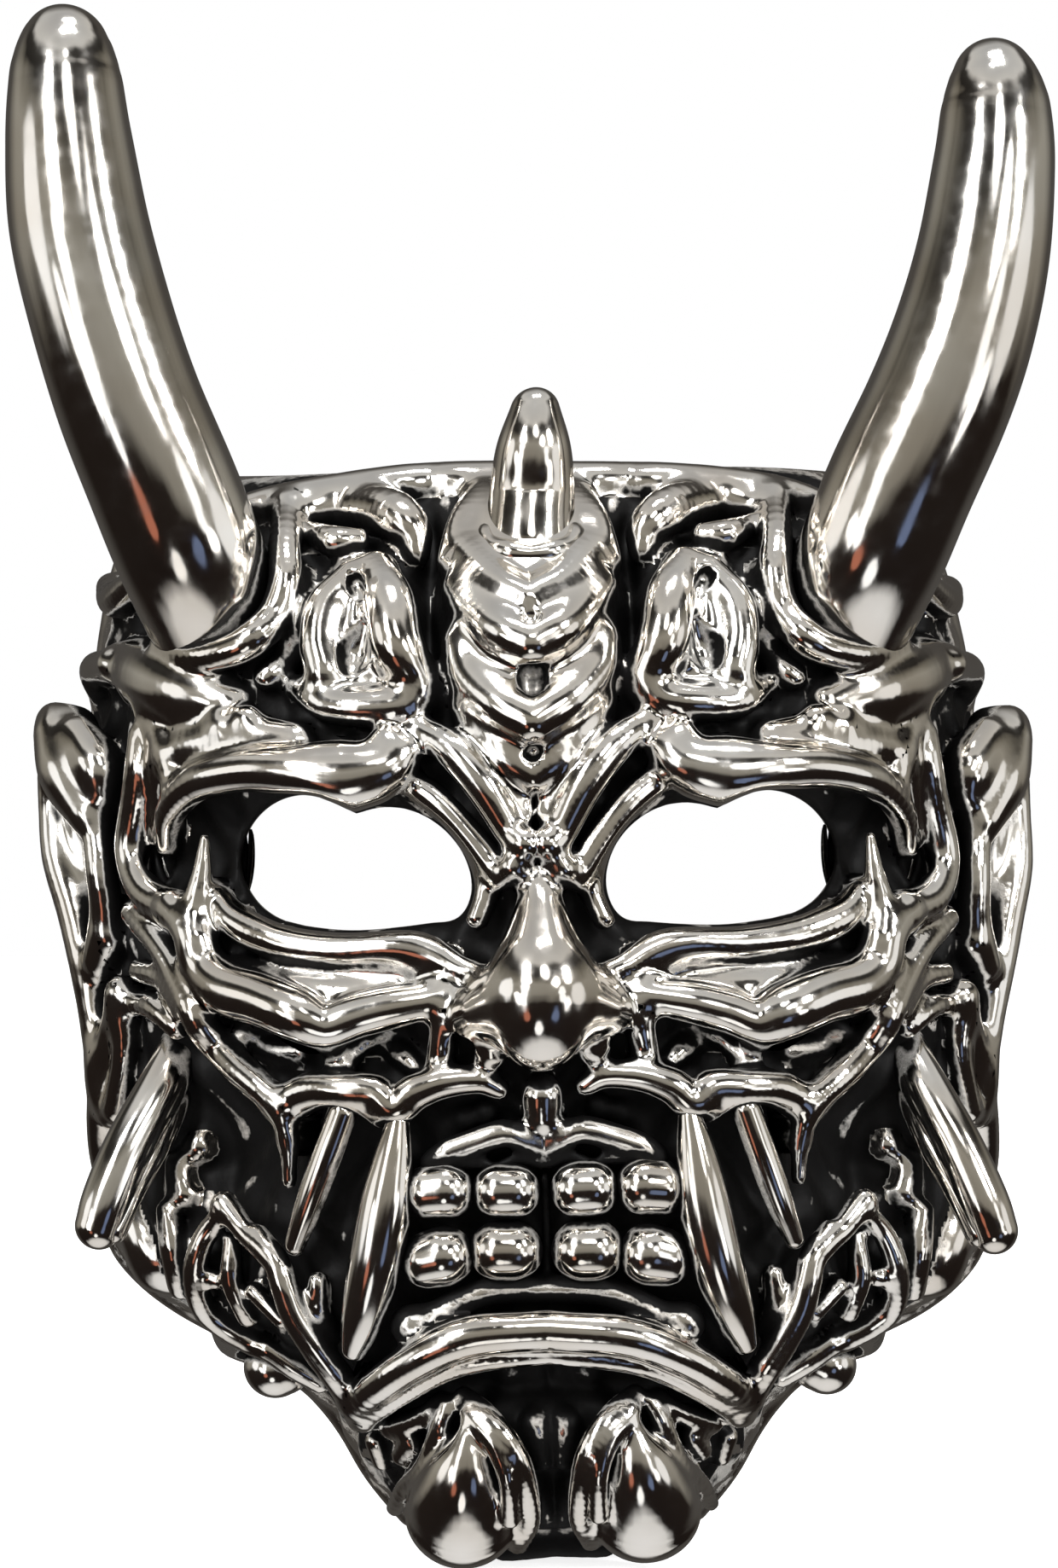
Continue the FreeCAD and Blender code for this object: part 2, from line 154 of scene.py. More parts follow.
def profile_curve(column, scale):
    """The base form's half width or depth against height, as a smoothed table."""
    step, smoothing, reach = 0.1, 8.0, 25
    heights = np.arange(-1.3 * HALF_HEIGHT, 1.3 * HALF_HEIGHT, step)
    levels = [section[0] * HALF_HEIGHT for section in SECTIONS]
    values = np.interp(heights, levels, [section[column] * scale for section in SECTIONS])
    spread = np.exp(-0.5 * (np.arange(-reach, reach + 1) / smoothing) ** 2)
    padded = np.pad(values, reach, mode="edge")
    return heights, np.convolve(padded, spread / spread.sum(), mode="valid")


HEIGHTS, WIDTHS = profile_curve(1, HALF_WIDTH)
DEPTHS = profile_curve(2, DEPTH)[1]
WIDTH_SLOPES = np.gradient(WIDTHS, HEIGHTS)
DEPTH_SLOPES = np.gradient(DEPTHS, HEIGHTS)


def hollow_depth(x, z):
    """How far the base form is pushed in at x and z."""
    total = 0
    for x0, z0, wide, tall, depth in HOLLOWS:
        total = total + depth * np.exp(-(((x - x0) / wide) ** 2) - ((z - z0) / tall) ** 2)
    return total


def rubbed_share(x, z):
    """How much of the patina has been rubbed off the ground at x and z."""
    total = 0
    for x0, z0, wide, tall in RUBBED:
        total = total + np.exp(-(((x - x0) / wide) ** 2) - ((z - z0) / tall) ** 2)
    return np.clip(total, 0, 1)


def base_distance(x, y, z, hollowed=True):
    """Distance outside the base form, with or without its hollows. x is never below nought."""
    half = np.interp(z, HEIGHTS, WIDTHS).astype(np.float32)
    depth = np.interp(z, HEIGHTS, DEPTHS).astype(np.float32)
    half_slope = np.interp(z, HEIGHTS, WIDTH_SLOPES).astype(np.float32)
    depth_slope = np.interp(z, HEIGHTS, DEPTH_SLOPES).astype(np.float32)
    across = x / half
    forward = np.maximum(-y, 0) / depth
    across_power = across ** (ROUNDNESS - 1)
    forward_power = forward ** (ROUNDNESS - 1)
    size = np.maximum(across_power * across + forward_power * forward, 1e-4) ** (1 / ROUNDNESS)
    rise = across_power * across * half_slope / half + forward_power * forward * depth_slope / depth
    slope = np.sqrt((across_power / half) ** 2 + (forward_power / depth) ** 2 + rise**2)
    side = (size - 1) / np.maximum(slope * size ** (1 - ROUNDNESS), 0.02)
    ends = np.abs(z) - HALF_HEIGHT
    plain = smooth_max(side, ends, 1.2)
    return plain + hollow_depth(x, z) * np.clip(forward * 1.4 - 0.1, 0, 1) if hollowed else plain


def lumps(x, y, z):
    """The lumpy casting between the ridges, from minus one to one, fading to the rim and the ends."""
    across = np.sin(2.1 * x + 1.6 * y + 1.3 * np.sin(1.5 * z + 0.4))
    upward = np.sin(1.9 * z + 1.2 * np.sin(1.7 * x + 0.9 * y) + 0.8)
    fade = np.clip(-y / 4, 0, 1) * np.clip((HALF_HEIGHT - np.abs(z)) / 1.5, 0, 1)
    return across * upward * fade


def plain_distance(x, y, z):
    """Distance outside the base form without its hollows, on both sides."""
    return base_distance(np.abs(x), y, z, hollowed=False)


def both_sides_distance(x, y, z):
    """Distance outside the base form with its hollows, on both sides."""
    return base_distance(np.abs(x), y, z)


def numeric_slope(function, x, y, z, step=0.05):
    """The direction in which a field grows fastest, by differences between four corners."""
    slope = np.zeros((3,) + np.shape(x))
    for corner in ((1, 1, 1), (1, -1, -1), (-1, 1, -1), (-1, -1, 1)):
        value = function(x + corner[0] * step, y + corner[1] * step, z + corner[2] * step)
        for axis in range(3):
            slope[axis] += corner[axis] * value
    return slope / np.maximum(np.linalg.norm(slope, axis=0), 1e-9)


def front_foot(x, z):
    """The base form's front at x and z, and its outward directions there."""
    half = np.interp(z, HEIGHTS, WIDTHS)
    widest, nudge, least_slope = 0.985, 0.02, -0.35
    x = np.clip(x, 0, widest * half)
    y = -np.interp(z, HEIGHTS, DEPTHS) * (1 - (x / half) ** ROUNDNESS) ** (1 / ROUNDNESS)
    for _ in range(4):
        slope = (base_distance(x, y + nudge, z) - base_distance(x, y - nudge, z)) / (2 * nudge)
        y = y - base_distance(x, y, z) / np.minimum(slope, least_slope)
    normal = numeric_slope(plain_distance, x, y, z, step=0.5)
    return np.stack([x, y, z], axis=-1), normal.T


def on_face(x, z, lift):
    """Points raised by lift over the base form's front that are seen at x and z from straight ahead."""
    lift = np.asarray(lift)
    foot, normal = front_foot(x, z)
    for _ in range(3):
        foot, normal = front_foot(x - normal[:, 0] * lift, z - normal[:, 2] * lift)
    return foot + normal * lift[:, None]


def smooth_route(stations, spacing=SPACING):
    """A Catmull-Rom curve through stations of any number of values, as evenly spread samples."""
    stations = np.array(stations, float)
    if len(stations) == 1:
        return np.repeat(stations, 2, axis=0)
    ends = np.vstack([2 * stations[0] - stations[1], stations, 2 * stations[-1] - stations[-2]])
    samples = []
    for before, start, end, after in zip(ends, ends[1:], ends[2:], ends[3:]):
        count = max(2, math.ceil(np.linalg.norm((end - start)[:3]) / spacing))
        t = np.arange(count)[:, None] / count
        samples.append(0.5 * (2 * start + (end - before) * t
                              + (2 * before - 5 * start + 4 * end - after) * t**2
                              + (3 * start - before - 3 * end + after) * t**3))
    return np.vstack(samples + [stations[-1:]])


def chain_distance(x, y, z, points, radii):
    """Distance to a bar of changing thickness along points."""
    nearest = None
    reach = 0.05 * float(np.max(radii))
    for start, end, r0, r1 in zip(points, points[1:], radii, radii[1:]):
        way = end - start
        length = max(float(way @ way), 1e-9)
        dx, dy, dz = x - start[0], y - start[1], z - start[2]
        share = np.clip((dx * way[0] + dy * way[1] + dz * way[2]) / length, 0, 1)
        gap = np.sqrt((dx - share * way[0]) ** 2 + (dy - share * way[1]) ** 2 + (dz - share * way[2]) ** 2)
        gap = gap - (r0 + (r1 - r0) * share)
        nearest = gap if nearest is None else smooth_min(nearest, gap, reach)
    return nearest


class Stroke:
    """One bar of the sculpture: which casting it belongs to, its line, and how it melts in."""

    def __init__(self, owner, line, melt, free=False, carve=False, fullness=1.0):
        route = smooth_route(line)
        self.owner = owner
        self.melt = melt
        self.carve = carve
        self.radii = np.maximum(route[:, 3 if free else 2], 0.05).astype(np.float32) * fullness
        if free:
            points = route[:, :3]
        else:
            points = on_face(np.maximum(route[:, 0], 0), route[:, 1], route[:, 3] * RAISE)
        self.points = points.astype(np.float32)
        reach = float(self.radii.max()) + melt + 0.9
        self.low = self.points.min(axis=0) - reach
        self.high = self.points.max(axis=0) + reach

    def distance(self, x, y, z):
        return chain_distance(x, y, z, self.points, self.radii)


# ---- the strokes -------------------------------------------------------------------------------
# Each list belongs to one casting. A stroke is its line, of (x, z, radius, lift) points, and may
# have its own melting reach.
FACE_STROKES = {
    "crest": [
        [(0, 14.4, 1.6, -0.7), (0, 12.4, 2.1, -1.0), (0, 10.4, 2.0, -0.9), (0, 8.8, 1.4, -0.5),
         (0, 7.5, 0.6, 0.1)],
        [(1.9, 14.0, 0.36, 0.6), (1.4, 13.4, 0.4, 0.9), (0.8, 12.9, 0.4, 1.2), (0, 12.5, 0.4, 1.35)],
        [(2.1, 12.9, 0.4, 0.5), (1.5, 12.2, 0.46, 0.9), (0.8, 11.6, 0.5, 1.3), (0, 11.2, 0.5, 1.45)],
        [(2.2, 11.3, 0.36, 0.5), (1.9, 10.4, 0.42, 0.6), (1.0, 9.5, 0.5, 1.0), (0, 8.9, 0.52, 1.2)],
        [(1.9, 9.4, 0.34, 0.3), (1.4, 8.6, 0.4, 0.5), (0.7, 7.8, 0.42, 0.75), (0, 7.3, 0.4, 0.8)],
        [(1.45, 15.9, 0.3, 0.2), (1.95, 14.9, 0.4, 0.4), (2.3, 13.8, 0.36, 0.3)],
    ],
    "forehead_rim": [
        [(0, 16.3, 0.5, 0.05), (4, 16.2, 0.5, 0.05), (7.5, 15.8, 0.5, 0.05), (9.6, 15.2, 0.45, 0)],
        [(7.0, 15.5, 0.35, 0.3), (5.6, 15.6, 0.5, 0.4), (4.3, 15.4, 0.55, 0.5), (3.6, 14.8, 0.45, 0.4),
         (3.45, 14.1, 0.3, 0.3)],
    ],
    "horn_ridge": [
        [(7.45, 15.7, 0.36, 0.4), (7.5, 14.4, 0.36, 0.7), (7.45, 13.2, 0.38, 0.8), (7.8, 12.1, 0.4, 0.8),
         (8.7, 11.3, 0.4, 0.8), (10.0, 11.0, 0.36, 0.8), (11.2, 11.4, 0.3, 0.6)],
        [(8.4, 14.2, 0.3, 0.4), (8.6, 13.2, 0.35, 0.5), (9.3, 12.4, 0.3, 0.6)],
        [(9.0, 14.8, 0.28, 0.3), (9.2, 13.6, 0.3, 0.5)],
        [(6.7, 14.9, 0.25, 0.4), (6.0, 14.6, 0.34, 0.5), (5.3, 14.6, 0.28, 0.4)],
        [(7.0, 13.4, 0.24, 0.2), (6.95, 12.2, 0.3, 0.3), (7.3, 11.0, 0.3, 0.25), (8.0, 10.3, 0.26, 0.2)],
        [(12.4, 10.9, 0.5, 0.0), (11.6, 10.4, 0.9, -0.1), (10.3, 9.9, 0.95, 0.0), (9.1, 9.5, 0.55, 0.15)],
        [(9.4, 8.9, 0.28, 0.55)],
        [(8.65, 9.1, 0.28, 0.55)],
    ],
    "forehead_boss": [
        [(5.2, 12.9, 0.85, -0.5), (5.1, 11.7, 1.15, -0.75), (4.9, 10.5, 1.1, -0.7)],
        [(4.7, 13.7, 0.4, 0.4), (4.3, 12.6, 0.58, 0.6), (4.05, 11.4, 0.58, 0.65), (3.5, 10.3, 0.5, 0.5)],
        [(5.5, 13.5, 0.3, 0.5), (6.2, 12.6, 0.4, 0.5), (6.4, 11.5, 0.42, 0.5), (6.2, 10.5, 0.45, 0.4)],
        [(7.0, 10.0, 0.26, 0.2), (6.2, 9.5, 0.36, 0.4), (5.1, 9.4, 0.42, 0.45), (3.9, 9.5, 0.4, 0.4),
         (3.0, 9.9, 0.28, 0.3)],
    ],
    "brow": [
        [(11.3, 5.2, 0.25, 0.4), (11.15, 6.3, 0.34, 0.7), (10.3, 7.2, 0.4, 0.8), (8.8, 7.55, 0.46, 0.8),
         (7.3, 7.5, 0.55, 0.9), (5.8, 7.25, 0.85, 0.7), (4.6, 7.5, 0.62, 0.7), (3.9, 8.0, 0.42, 0.5)],
        [(11.3, 8.0, 0.4, 0.2), (10.2, 8.3, 0.5, 0.2), (8.6, 8.5, 0.48, 0.2), (7.2, 8.4, 0.4, 0.25)],
        [(4.4, 8.35, 0.3, 0.6)],
    ],
    "bridge_fold": [
        [(3.3, 8.7, 0.34, 0.4), (2.4, 8.1, 0.4, 0.7), (1.5, 7.0, 0.42, 0.9), (0.8, 5.7, 0.36, 0.9),
         (0.45, 5.0, 0.3, 0.9)],
        [(3.7, 7.1, 0.3, 0.4), (2.8, 6.4, 0.34, 0.6), (1.9, 5.3, 0.34, 0.7), (1.15, 4.2, 0.3, 0.7)],
        [(3.2, 6.7, 0.25, 0.2), (2.2, 5.3, 0.26, 0.3), (1.65, 4.0, 0.28, 0.4), (1.9, 3.0, 0.28, 0.4)],
        [(1.2, 8.3, 0.22, 0.4), (0.75, 7.2, 0.24, 0.6), (0.3, 6.2, 0.24, 0.7)],
        [(0.32, 5.25, 0.36, 1.1)],
        [(0.75, 4.5, 0.3, 1.0)],
    ],
    "lower_lid": [
        [(9.8, 3.9, 0.25, 0.3), (9.2, 3.0, 0.4, 0.4), (7.8, 2.4, 0.46, 0.5), (6.2, 2.2, 0.46, 0.55),
         (4.5, 2.25, 0.44, 0.55), (3.4, 2.0, 0.38, 0.5), (2.5, 1.5, 0.3, 0.5), (1.9, 1.3, 0.25, 0.5)],
        [(6.0, 1.3, 0.3, 0.2), (4.8, 1.7, 0.4, 0.3), (3.6, 1.5, 0.35, 0.35), (2.6, 1.0, 0.25, 0.3)],
    ],
    "temple_ridge": [
        [(12.0, 8.6, 0.35, 0.3), (12.2, 6.8, 0.38, 0.4), (12.45, 4.9, 0.4, 0.4), (12.0, 3.7, 0.42, 0.5),
         (11.1, 3.2, 0.42, 0.6)],
        [(11.7, 9.4, 0.36, 0.2), (11.2, 8.2, 0.36, 0.3), (11.0, 7.2, 0.34, 0.5)],
        [(11.5, 7.6, 0.24, 0.3), (11.5, 6.4, 0.22, 0.3), (11.6, 5.2, 0.16, 0.3)],
    ],
    "cheekbone": [
        [(11.0, 3.2, 0.45, 0.6), (10.5, 2.5, 0.5, 0.7), (10.25, 1.6, 0.55, 0.7), (9.6, 0.9, 0.6, 0.7),
         (8.5, 0.6, 0.6, 0.75), (7.4, 0.2, 0.6, 0.8), (6.5, -0.15, 0.5, 0.75), (5.6, 0.15, 0.48, 0.7),
         (4.6, 0.4, 0.46, 0.7), (3.6, 0.55, 0.4, 0.6), (2.8, 0.7, 0.3, 0.5)],
        [(8.9, 1.2, 0.5, 0.2), (7.4, 0.9, 0.55, 0.2), (5.9, 0.8, 0.5, 0.2), (4.4, 1.0, 0.4, 0.2)],
        [(10.45, 3.2, 0.34, 0.7), (10.2, 4.4, 0.22, 0.8), (10.1, 5.5, 0.1, 0.8)],
        [(6.4, -0.7, 0.3, 0.6), (6.0, -1.5, 0.2, 0.4)],
        [(6.3, -1.5, 0.2, 0.3), (5.3, -0.6, 0.2, 0.4)],
        [(9.0, -0.5, 0.34, 0.1), (8.2, -1.0, 0.4, 0.1), (7.3, -1.0, 0.3, 0.1)],
        [(4.9, -0.5, 0.28, 0.1), (4.2, -1.0, 0.34, 0.1), (3.8, -1.4, 0.24, 0.1)],
    ],
    "smile_fold": [
        [(12.5, 3.0, 0.3, 0.3), (11.6, 2.1, 0.35, 0.5), (10.9, 0.9, 0.38, 0.6), (10.3, -0.4, 0.38, 0.7),
         (9.3, -1.5, 0.38, 0.9), (8.1, -2.6, 0.32, 0.9), (7.75, -3.8, 0.2, 0.8), (7.7, -4.9, 0.16, 0.7)],
        [(12.4, 1.3, 0.25, 0.3), (11.6, 1.1, 0.28, 0.4), (11.0, 0.2, 0.28, 0.5)],
        [(12.6, 0.3, 0.25, 0.2), (11.9, 0.2, 0.28, 0.4), (11.2, -0.4, 0.25, 0.4)],
    ],
    "nose": [
        [(0, 4.0, 0.34, 0.7), (0, 3.0, 0.6, 0.8), (0, 1.9, 0.9, 1.0), (0, 0.8, 1.25, 1.1),
         (0, -0.1, 1.05, 1.2), (0, -0.95, 0.45, 1.4)],
        [(0.6, 0.7, 0.9, 0.9), (1.5, 0.3, 0.68, 0.8), (2.3, 0.15, 0.35, 0.6)],
        [(0, -2.35, 0.45, 0.6), (0, -2.95, 0.42, 0.6)],
    ],
    "nostril": [
        [(2.1, -0.1, 0.4, 0.5), (1.5, -1.0, 0.35, 0.6)],
        [(3.0, 0.9, 0.3, 0.4), (2.95, -0.3, 0.3, 0.5), (3.1, -1.4, 0.3, 0.4)],
    ],
    "upper_lip": [
        [(8.1, -2.7, 0.3, 0.7), (7.1, -2.15, 0.4, 0.7), (6.0, -2.1, 0.42, 0.8), (5.1, -2.15, 0.42, 0.8),
         (4.5, -2.6, 0.42, 0.8), (3.9, -2.15, 0.4, 0.8), (3.0, -1.85, 0.35, 0.7), (1.9, -1.8, 0.3, 0.6),
         (1.3, -2.1, 0.25, 0.5)],
        [(5.6, -2.3, 0.3, 0.7), (5.2, -2.75, 0.22, 0.7), (4.9, -3.1, 0.12, 0.6)],
        [(7.0, -2.3, 0.28, 0.6), (7.5, -2.8, 0.2, 0.5)],
    ],
    "upper_gum": [
        [(0, -3.85, 0.25, 0.6), (0.6, -3.6, 0.28, 0.7), (1.2, -3.4, 0.3, 0.75), (2.1, -3.65, 0.3, 0.7),
         (2.9, -3.95, 0.3, 0.7), (3.4, -4.3, 0.28, 0.6)],
        [(0.1, -4.35, 0.12, 0.6), (0.8, -4.2, 0.13, 0.65), (1.5, -4.45, 0.12, 0.65), (2.0, -4.3, 0.13, 0.65),
         (3.3, -4.4, 0.12, 0.6)],
        [(0, -4.8, 0.1, 0.4), (0, -7.9, 0.1, 0.4)],
    ],
    "lower_gum": [
        [(0, -8.2, 0.3, 0.6), (1.4, -8.2, 0.34, 0.6), (2.4, -8.5, 0.34, 0.6), (3.3, -8.95, 0.32, 0.6),
         (4.2, -9.25, 0.3, 0.6)],
        [(4.1, -9.2, 0.4, 0.7)],
    ],
    "lower_lip": [
        [(0, -9.4, 0.46, 1.2), (2.4, -9.6, 0.46, 1.2), (4.1, -10.3, 0.42, 1.1), (5.3, -11.1, 0.38, 1.0),
         (5.9, -11.7, 0.33, 0.8)],
        [(0, -10.2, 0.22, 0.9), (2.6, -10.5, 0.22, 0.9), (4.4, -11.3, 0.22, 0.8), (5.8, -12.2, 0.26, 0.6)],
    ],
    "jaw_tendon": [
        [(5.8, -12.0, 0.36, 0.6), (6.4, -10.9, 0.36, 0.8), (7.0, -10.0, 0.36, 0.8), (7.6, -9.0, 0.34, 0.8),
         (7.9, -8.1, 0.32, 0.8), (8.2, -7.2, 0.3, 0.8), (9.0, -6.5, 0.26, 0.9), (9.7, -5.6, 0.3, 1.2)],
        [(9.8, -5.9, 0.22, 1.1), (10.4, -6.7, 0.25, 0.8), (10.75, -7.8, 0.28, 0.6), (10.6, -8.9, 0.3, 0.5),
         (10.0, -9.5, 0.32, 0.4), (9.1, -10.0, 0.32, 0.3)],
        [(9.5, -6.8, 0.22, 0.5), (9.6, -8.0, 0.25, 0.4), (9.2, -9.1, 0.25, 0.3)],
        [(8.9, -8.3, 0.2, 0.4), (8.1, -9.1, 0.2, 0.5)],
        [(10.15, -8.0, 0.2, 0.4)],
        [(8.3, -7.1, 0.2, 0.7), (8.6, -6.4, 0.12, 0.8)],
        [(8.6, -10.2, 0.28, 0.3), (7.9, -10.7, 0.28, 0.3), (7.1, -11.2, 0.25, 0.2)],
        [(10.5, -4.0, 0.32, 0.1)],
        [(11.2, -4.6, 0.3, 0.1), (11.0, -5.4, 0.4, 0.0)],
        [(12.3, -6.6, 0.8, -0.4), (11.9, -7.7, 0.8, -0.4)],
        [(11.6, -6.0, 0.25, 0.3), (11.4, -7.2, 0.35, 0.2), (11.3, -8.4, 0.3, 0.2)],
        [(6.9, -7.9, 0.22, 0.4), (6.9, -8.7, 0.26, 0.4), (6.6, -9.5, 0.22, 0.3)],
        [(7.7, -3.7, 0.25, 0.6)],
    ],
    "chin_boss": [
        [(2.55, -12.3, 0.12, 0.8), (2.6, -13.0, 0.4, 0.8), (2.7, -13.9, 0.85, 0.7),
         (2.75, -15.0, 1.3, 0.5)],
        [(2.6, -11.4, 0.2, 0.7), (1.9, -12.0, 0.24, 0.8), (1.25, -12.9, 0.26, 0.9), (0.85, -14.0, 0.27, 0.9),
         (0.75, -15.2, 0.26, 0.8), (1.1, -16.1, 0.24, 0.5)],
        [(2.5, -11.9, 0.16, 0.8), (1.8, -12.8, 0.2, 1.0), (1.4, -13.9, 0.2, 1.2), (1.3, -15.2, 0.2, 1.2)],
        [(3.1, -11.7, 0.2, 0.6), (3.5, -12.6, 0.22, 0.6), (3.9, -13.6, 0.24, 0.6), (4.5, -14.4, 0.24, 0.5),
         (4.85, -15.2, 0.2, 0.4)],
        [(3.3, -11.6, 0.2, 0.4), (4.0, -12.1, 0.24, 0.4), (4.9, -12.5, 0.24, 0.3)],
        [(4.3, -12.9, 0.24, 0.4), (4.6, -13.3, 0.24, 0.4)],
        [(5.2, -13.6, 0.26, 0.2), (5.4, -13.0, 0.26, 0.2)],
    ],
    "face_shell": [
        [(1.7, -2.75, 0.25, 0.1)],
        [(2.4, -2.95, 0.25, 0.05)],
        [(0.4, -10.9, 0.2, 0.0)],
        [(0.5, -12.4, 0.3, 0.0), (0.3, -13.4, 0.3, 0.0)],
        [(0.6, -14.4, 0.25, 0.0), (0.2, -15.3, 0.3, 0.0)],
        [(1.2, -10.9, 0.2, 0.0)],
        [(0, -16.2, 0.35, 0.1), (1.5, -16.3, 0.35, 0.1)],
    ],
}

# Ridges that run back over the sides, whose points are x, y, z and radius.
SIDE_STROKES = {
    "horn_ridge": [[(12.0, -6.8, 13.4, 0.3), (12.8, -4.6, 12.8, 0.4), (13.1, -2.2, 13.2, 0.35)]],
    "temple_ridge": [
        [(13.0, -5.6, 10.8, 0.35), (13.6, -3.2, 10.6, 0.4), (13.5, -1.4, 9.9, 0.35)],
        [(13.3, -5.4, 2.2, 0.3), (13.7, -3.6, 0.4, 0.35), (13.7, -2.0, -1.8, 0.3)],
    ],
    "smile_fold": [
        [(13.0, -6.0, 0.6, 0.3), (13.5, -4.4, -1.8, 0.4), (13.7, -2.8, -4.2, 0.4), (13.6, -1.4, -6.2, 0.3)],
    ],
    "jaw_tendon": [
        [(9.9, -6.0, -9.8, 0.3), (9.9, -3.6, -10.3, 0.35), (9.3, -1.6, -10.8, 0.3)],
    ],
    "chin_boss": [
        [(4.6, -7.2, -13.2, 0.3), (5.4, -5.0, -13.4, 0.3), (5.6, -2.6, -13.2, 0.25)],
    ],
}

# Castings that stand in the face with a sharp foot, in the same four numbers.
SET_STROKES = {
    "long_fang": [(4.4, -3.0, 0.34, 1.1), (4.6, -4.2, 0.6, 1.2), (4.8, -5.5, 0.78, 1.3),
                  (5.05, -7.0, 0.82, 1.3), (5.35, -8.2, 0.74, 1.2), (5.65, -9.2, 0.6, 1.1),
                  (5.9, -9.9, 0.42, 1.0)],
    "short_fang": [(6.1, -2.8, 0.44, 0.9), (6.6, -4.2, 0.46, 1.0), (7.1, -5.6, 0.44, 1.0),
                   (7.55, -6.8, 0.32, 0.9)],
    "upper_middle_tooth": [(1.02, -5.15, 0.86, 0.95), (1.36, -5.15, 0.86, 0.95)],
    "upper_side_tooth": [(3.05, -5.15, 0.86, 0.95), (3.5, -5.2, 0.84, 0.9)],
    "lower_middle_tooth": [(1.06, -7.0, 0.94, 0.95), (1.38, -7.0, 0.94, 0.95)],
    "lower_side_tooth": [(3.2, -7.2, 0.92, 0.95), (3.6, -7.3, 0.86, 0.9)],
}

# Castings whose points are x, y, z and radius.
FREE_STROKES = {
    "tusk": [
        [(10.9, -6.6, -0.5, 0.66), (11.7, -7.9, -2.2, 0.74), (12.6, -8.6, -3.9, 0.76),
         (13.35, -8.9, -5.6, 0.76), (13.7, -8.9, -6.55, 0.7)],
        [(11.1, -7.0, -2.4, 0.36), (11.8, -8.0, -3.9, 0.42), (12.6, -8.6, -5.3, 0.44),
         (13.25, -8.85, -6.5, 0.5)],
    ],
    "ear": [
        [(14.7, -3.6, 8.5, 0.65), (14.3, -4.2, 7.3, 0.8), (13.8, -5.0, 6.1, 0.55)],
        [(14.1, -4.4, 8.5, 0.5), (13.5, -5.2, 7.6, 0.6), (13.4, -5.4, 6.8, 0.4)],
        [(14.9, -3.2, 9.0, 0.42), (14.2, -3.4, 8.9, 0.42)],
        [(15.0, -3.0, 7.3, 0.38), (15.05, -3.0, 6.0, 0.34), (14.95, -3.2, 4.6, 0.38),
         (14.5, -3.6, 3.0, 0.42), (14.2, -4.0, 1.5, 0.4), (13.9, -4.2, 0.0, 0.4),
         (13.7, -4.3, -1.4, 0.38), (13.4, -4.4, -3.2, 0.33)],
        [(13.6, -5.2, 5.8, 0.35), (13.5, -5.6, 4.4, 0.35), (13.4, -5.4, 3.0, 0.4), (13.7, -4.8, 1.6, 0.4)],
        [(13.0, -6.0, 0.6, 0.3), (12.9, -5.8, -1.2, 0.3), (13.2, -5.0, -3.0, 0.3)],
        [(14.0, -2.8, 7.5, 0.7), (13.9, -2.9, 4.5, 0.75), (13.4, -3.0, 1.0, 0.7), (13.1, -3.0, -2.6, 0.5)],
    ],
    "cord_post": [
        [(7.5, -3.6, -9.9, 0.5), (7.7, -3.6, -10.2, 0.52), (7.95, -3.6, -10.5, 0.6),
         (8.25, -3.6, -10.9, 0.92), (8.6, -3.6, -11.1, 0.95)],
    ],
    "horn": [
        [(9.7, -7.9, 12.3, 2.1), (10.4, -9.0, 14.1, 2.22), (11.2, -9.4, 16.0, 2.24),
         (12.3, -9.5, 18.5, 2.22), (13.15, -9.4, 21.0, 2.15), (13.8, -9.15, 23.5, 2.03),
         (14.13, -8.8, 26.0, 1.84), (14.2, -8.5, 27.6, 1.69), (14.18, -8.4, 28.3, 1.55),
         (14.13, -8.3, 28.9, 1.34), (14.08, -8.25, 29.3, 1.12)],
    ],
}

FREE_STANDING = ("tusk", "cord_post", "horn")

# Pits that are cut in at the end.
PITS = [
    [(2.0, -0.55, 0.45, 0.55), (2.3, -0.4, 0.35, 0.5)],
    [(5.35, 13.3, 0.25, 0.7), (5.1, 12.9, 0.2, 0.75)],
    [(5.1, 11.9, 0.3, 0.7), (5.3, 11.2, 0.5, 0.6), (5.35, 10.8, 0.4, 0.6)],
    [(0, 10.3, 0.42, 1.2), (0, 9.9, 0.35, 1.2)],
    [(0, 12.0, 0.2, 1.75)],
    [(0, 8.0, 0.25, 1.1)],
    [(11.7, 4.5, 0.5, 0.1), (11.2, 5.6, 0.35, 0.1)],
]


# ---- the surface -------------------------------------------------------------------------------
def back_rim():
    """The line of the rolled rim up the back edge of a side."""
    radius, set_in, forward, end_gap = 0.55, 0.35, 0.8, 1
    levels = np.linspace(end_gap - HALF_HEIGHT, HALF_HEIGHT - end_gap, 24)
    return [(np.interp(z, HEIGHTS, WIDTHS) - set_in, -forward, z, radius) for z in levels]


def gather_strokes():
    """Every stroke of the right half, in the order in which they are laid on."""
    strokes = []
    for owner, lines in FACE_STROKES.items():
        melt = SOFT_MELT if owner in SOFT_OWNERS else MELT
        strokes += [Stroke(owner, line, melt, fullness=FULLNESS) for line in lines]
    for line in FREE_STROKES["ear"]:
        strokes.append(Stroke("ear", line, MELT, free=True, fullness=FULLNESS))
    for owner, lines in SIDE_STROKES.items():
        strokes += [Stroke(owner, line, FREE_MELT, free=True, fullness=FULLNESS) for line in lines]
    strokes.append(Stroke("face_shell", back_rim(), FREE_MELT, free=True))
    strokes += [Stroke("face_shell", line, CARVE_MELT, carve=True) for line in PITS]
    return strokes


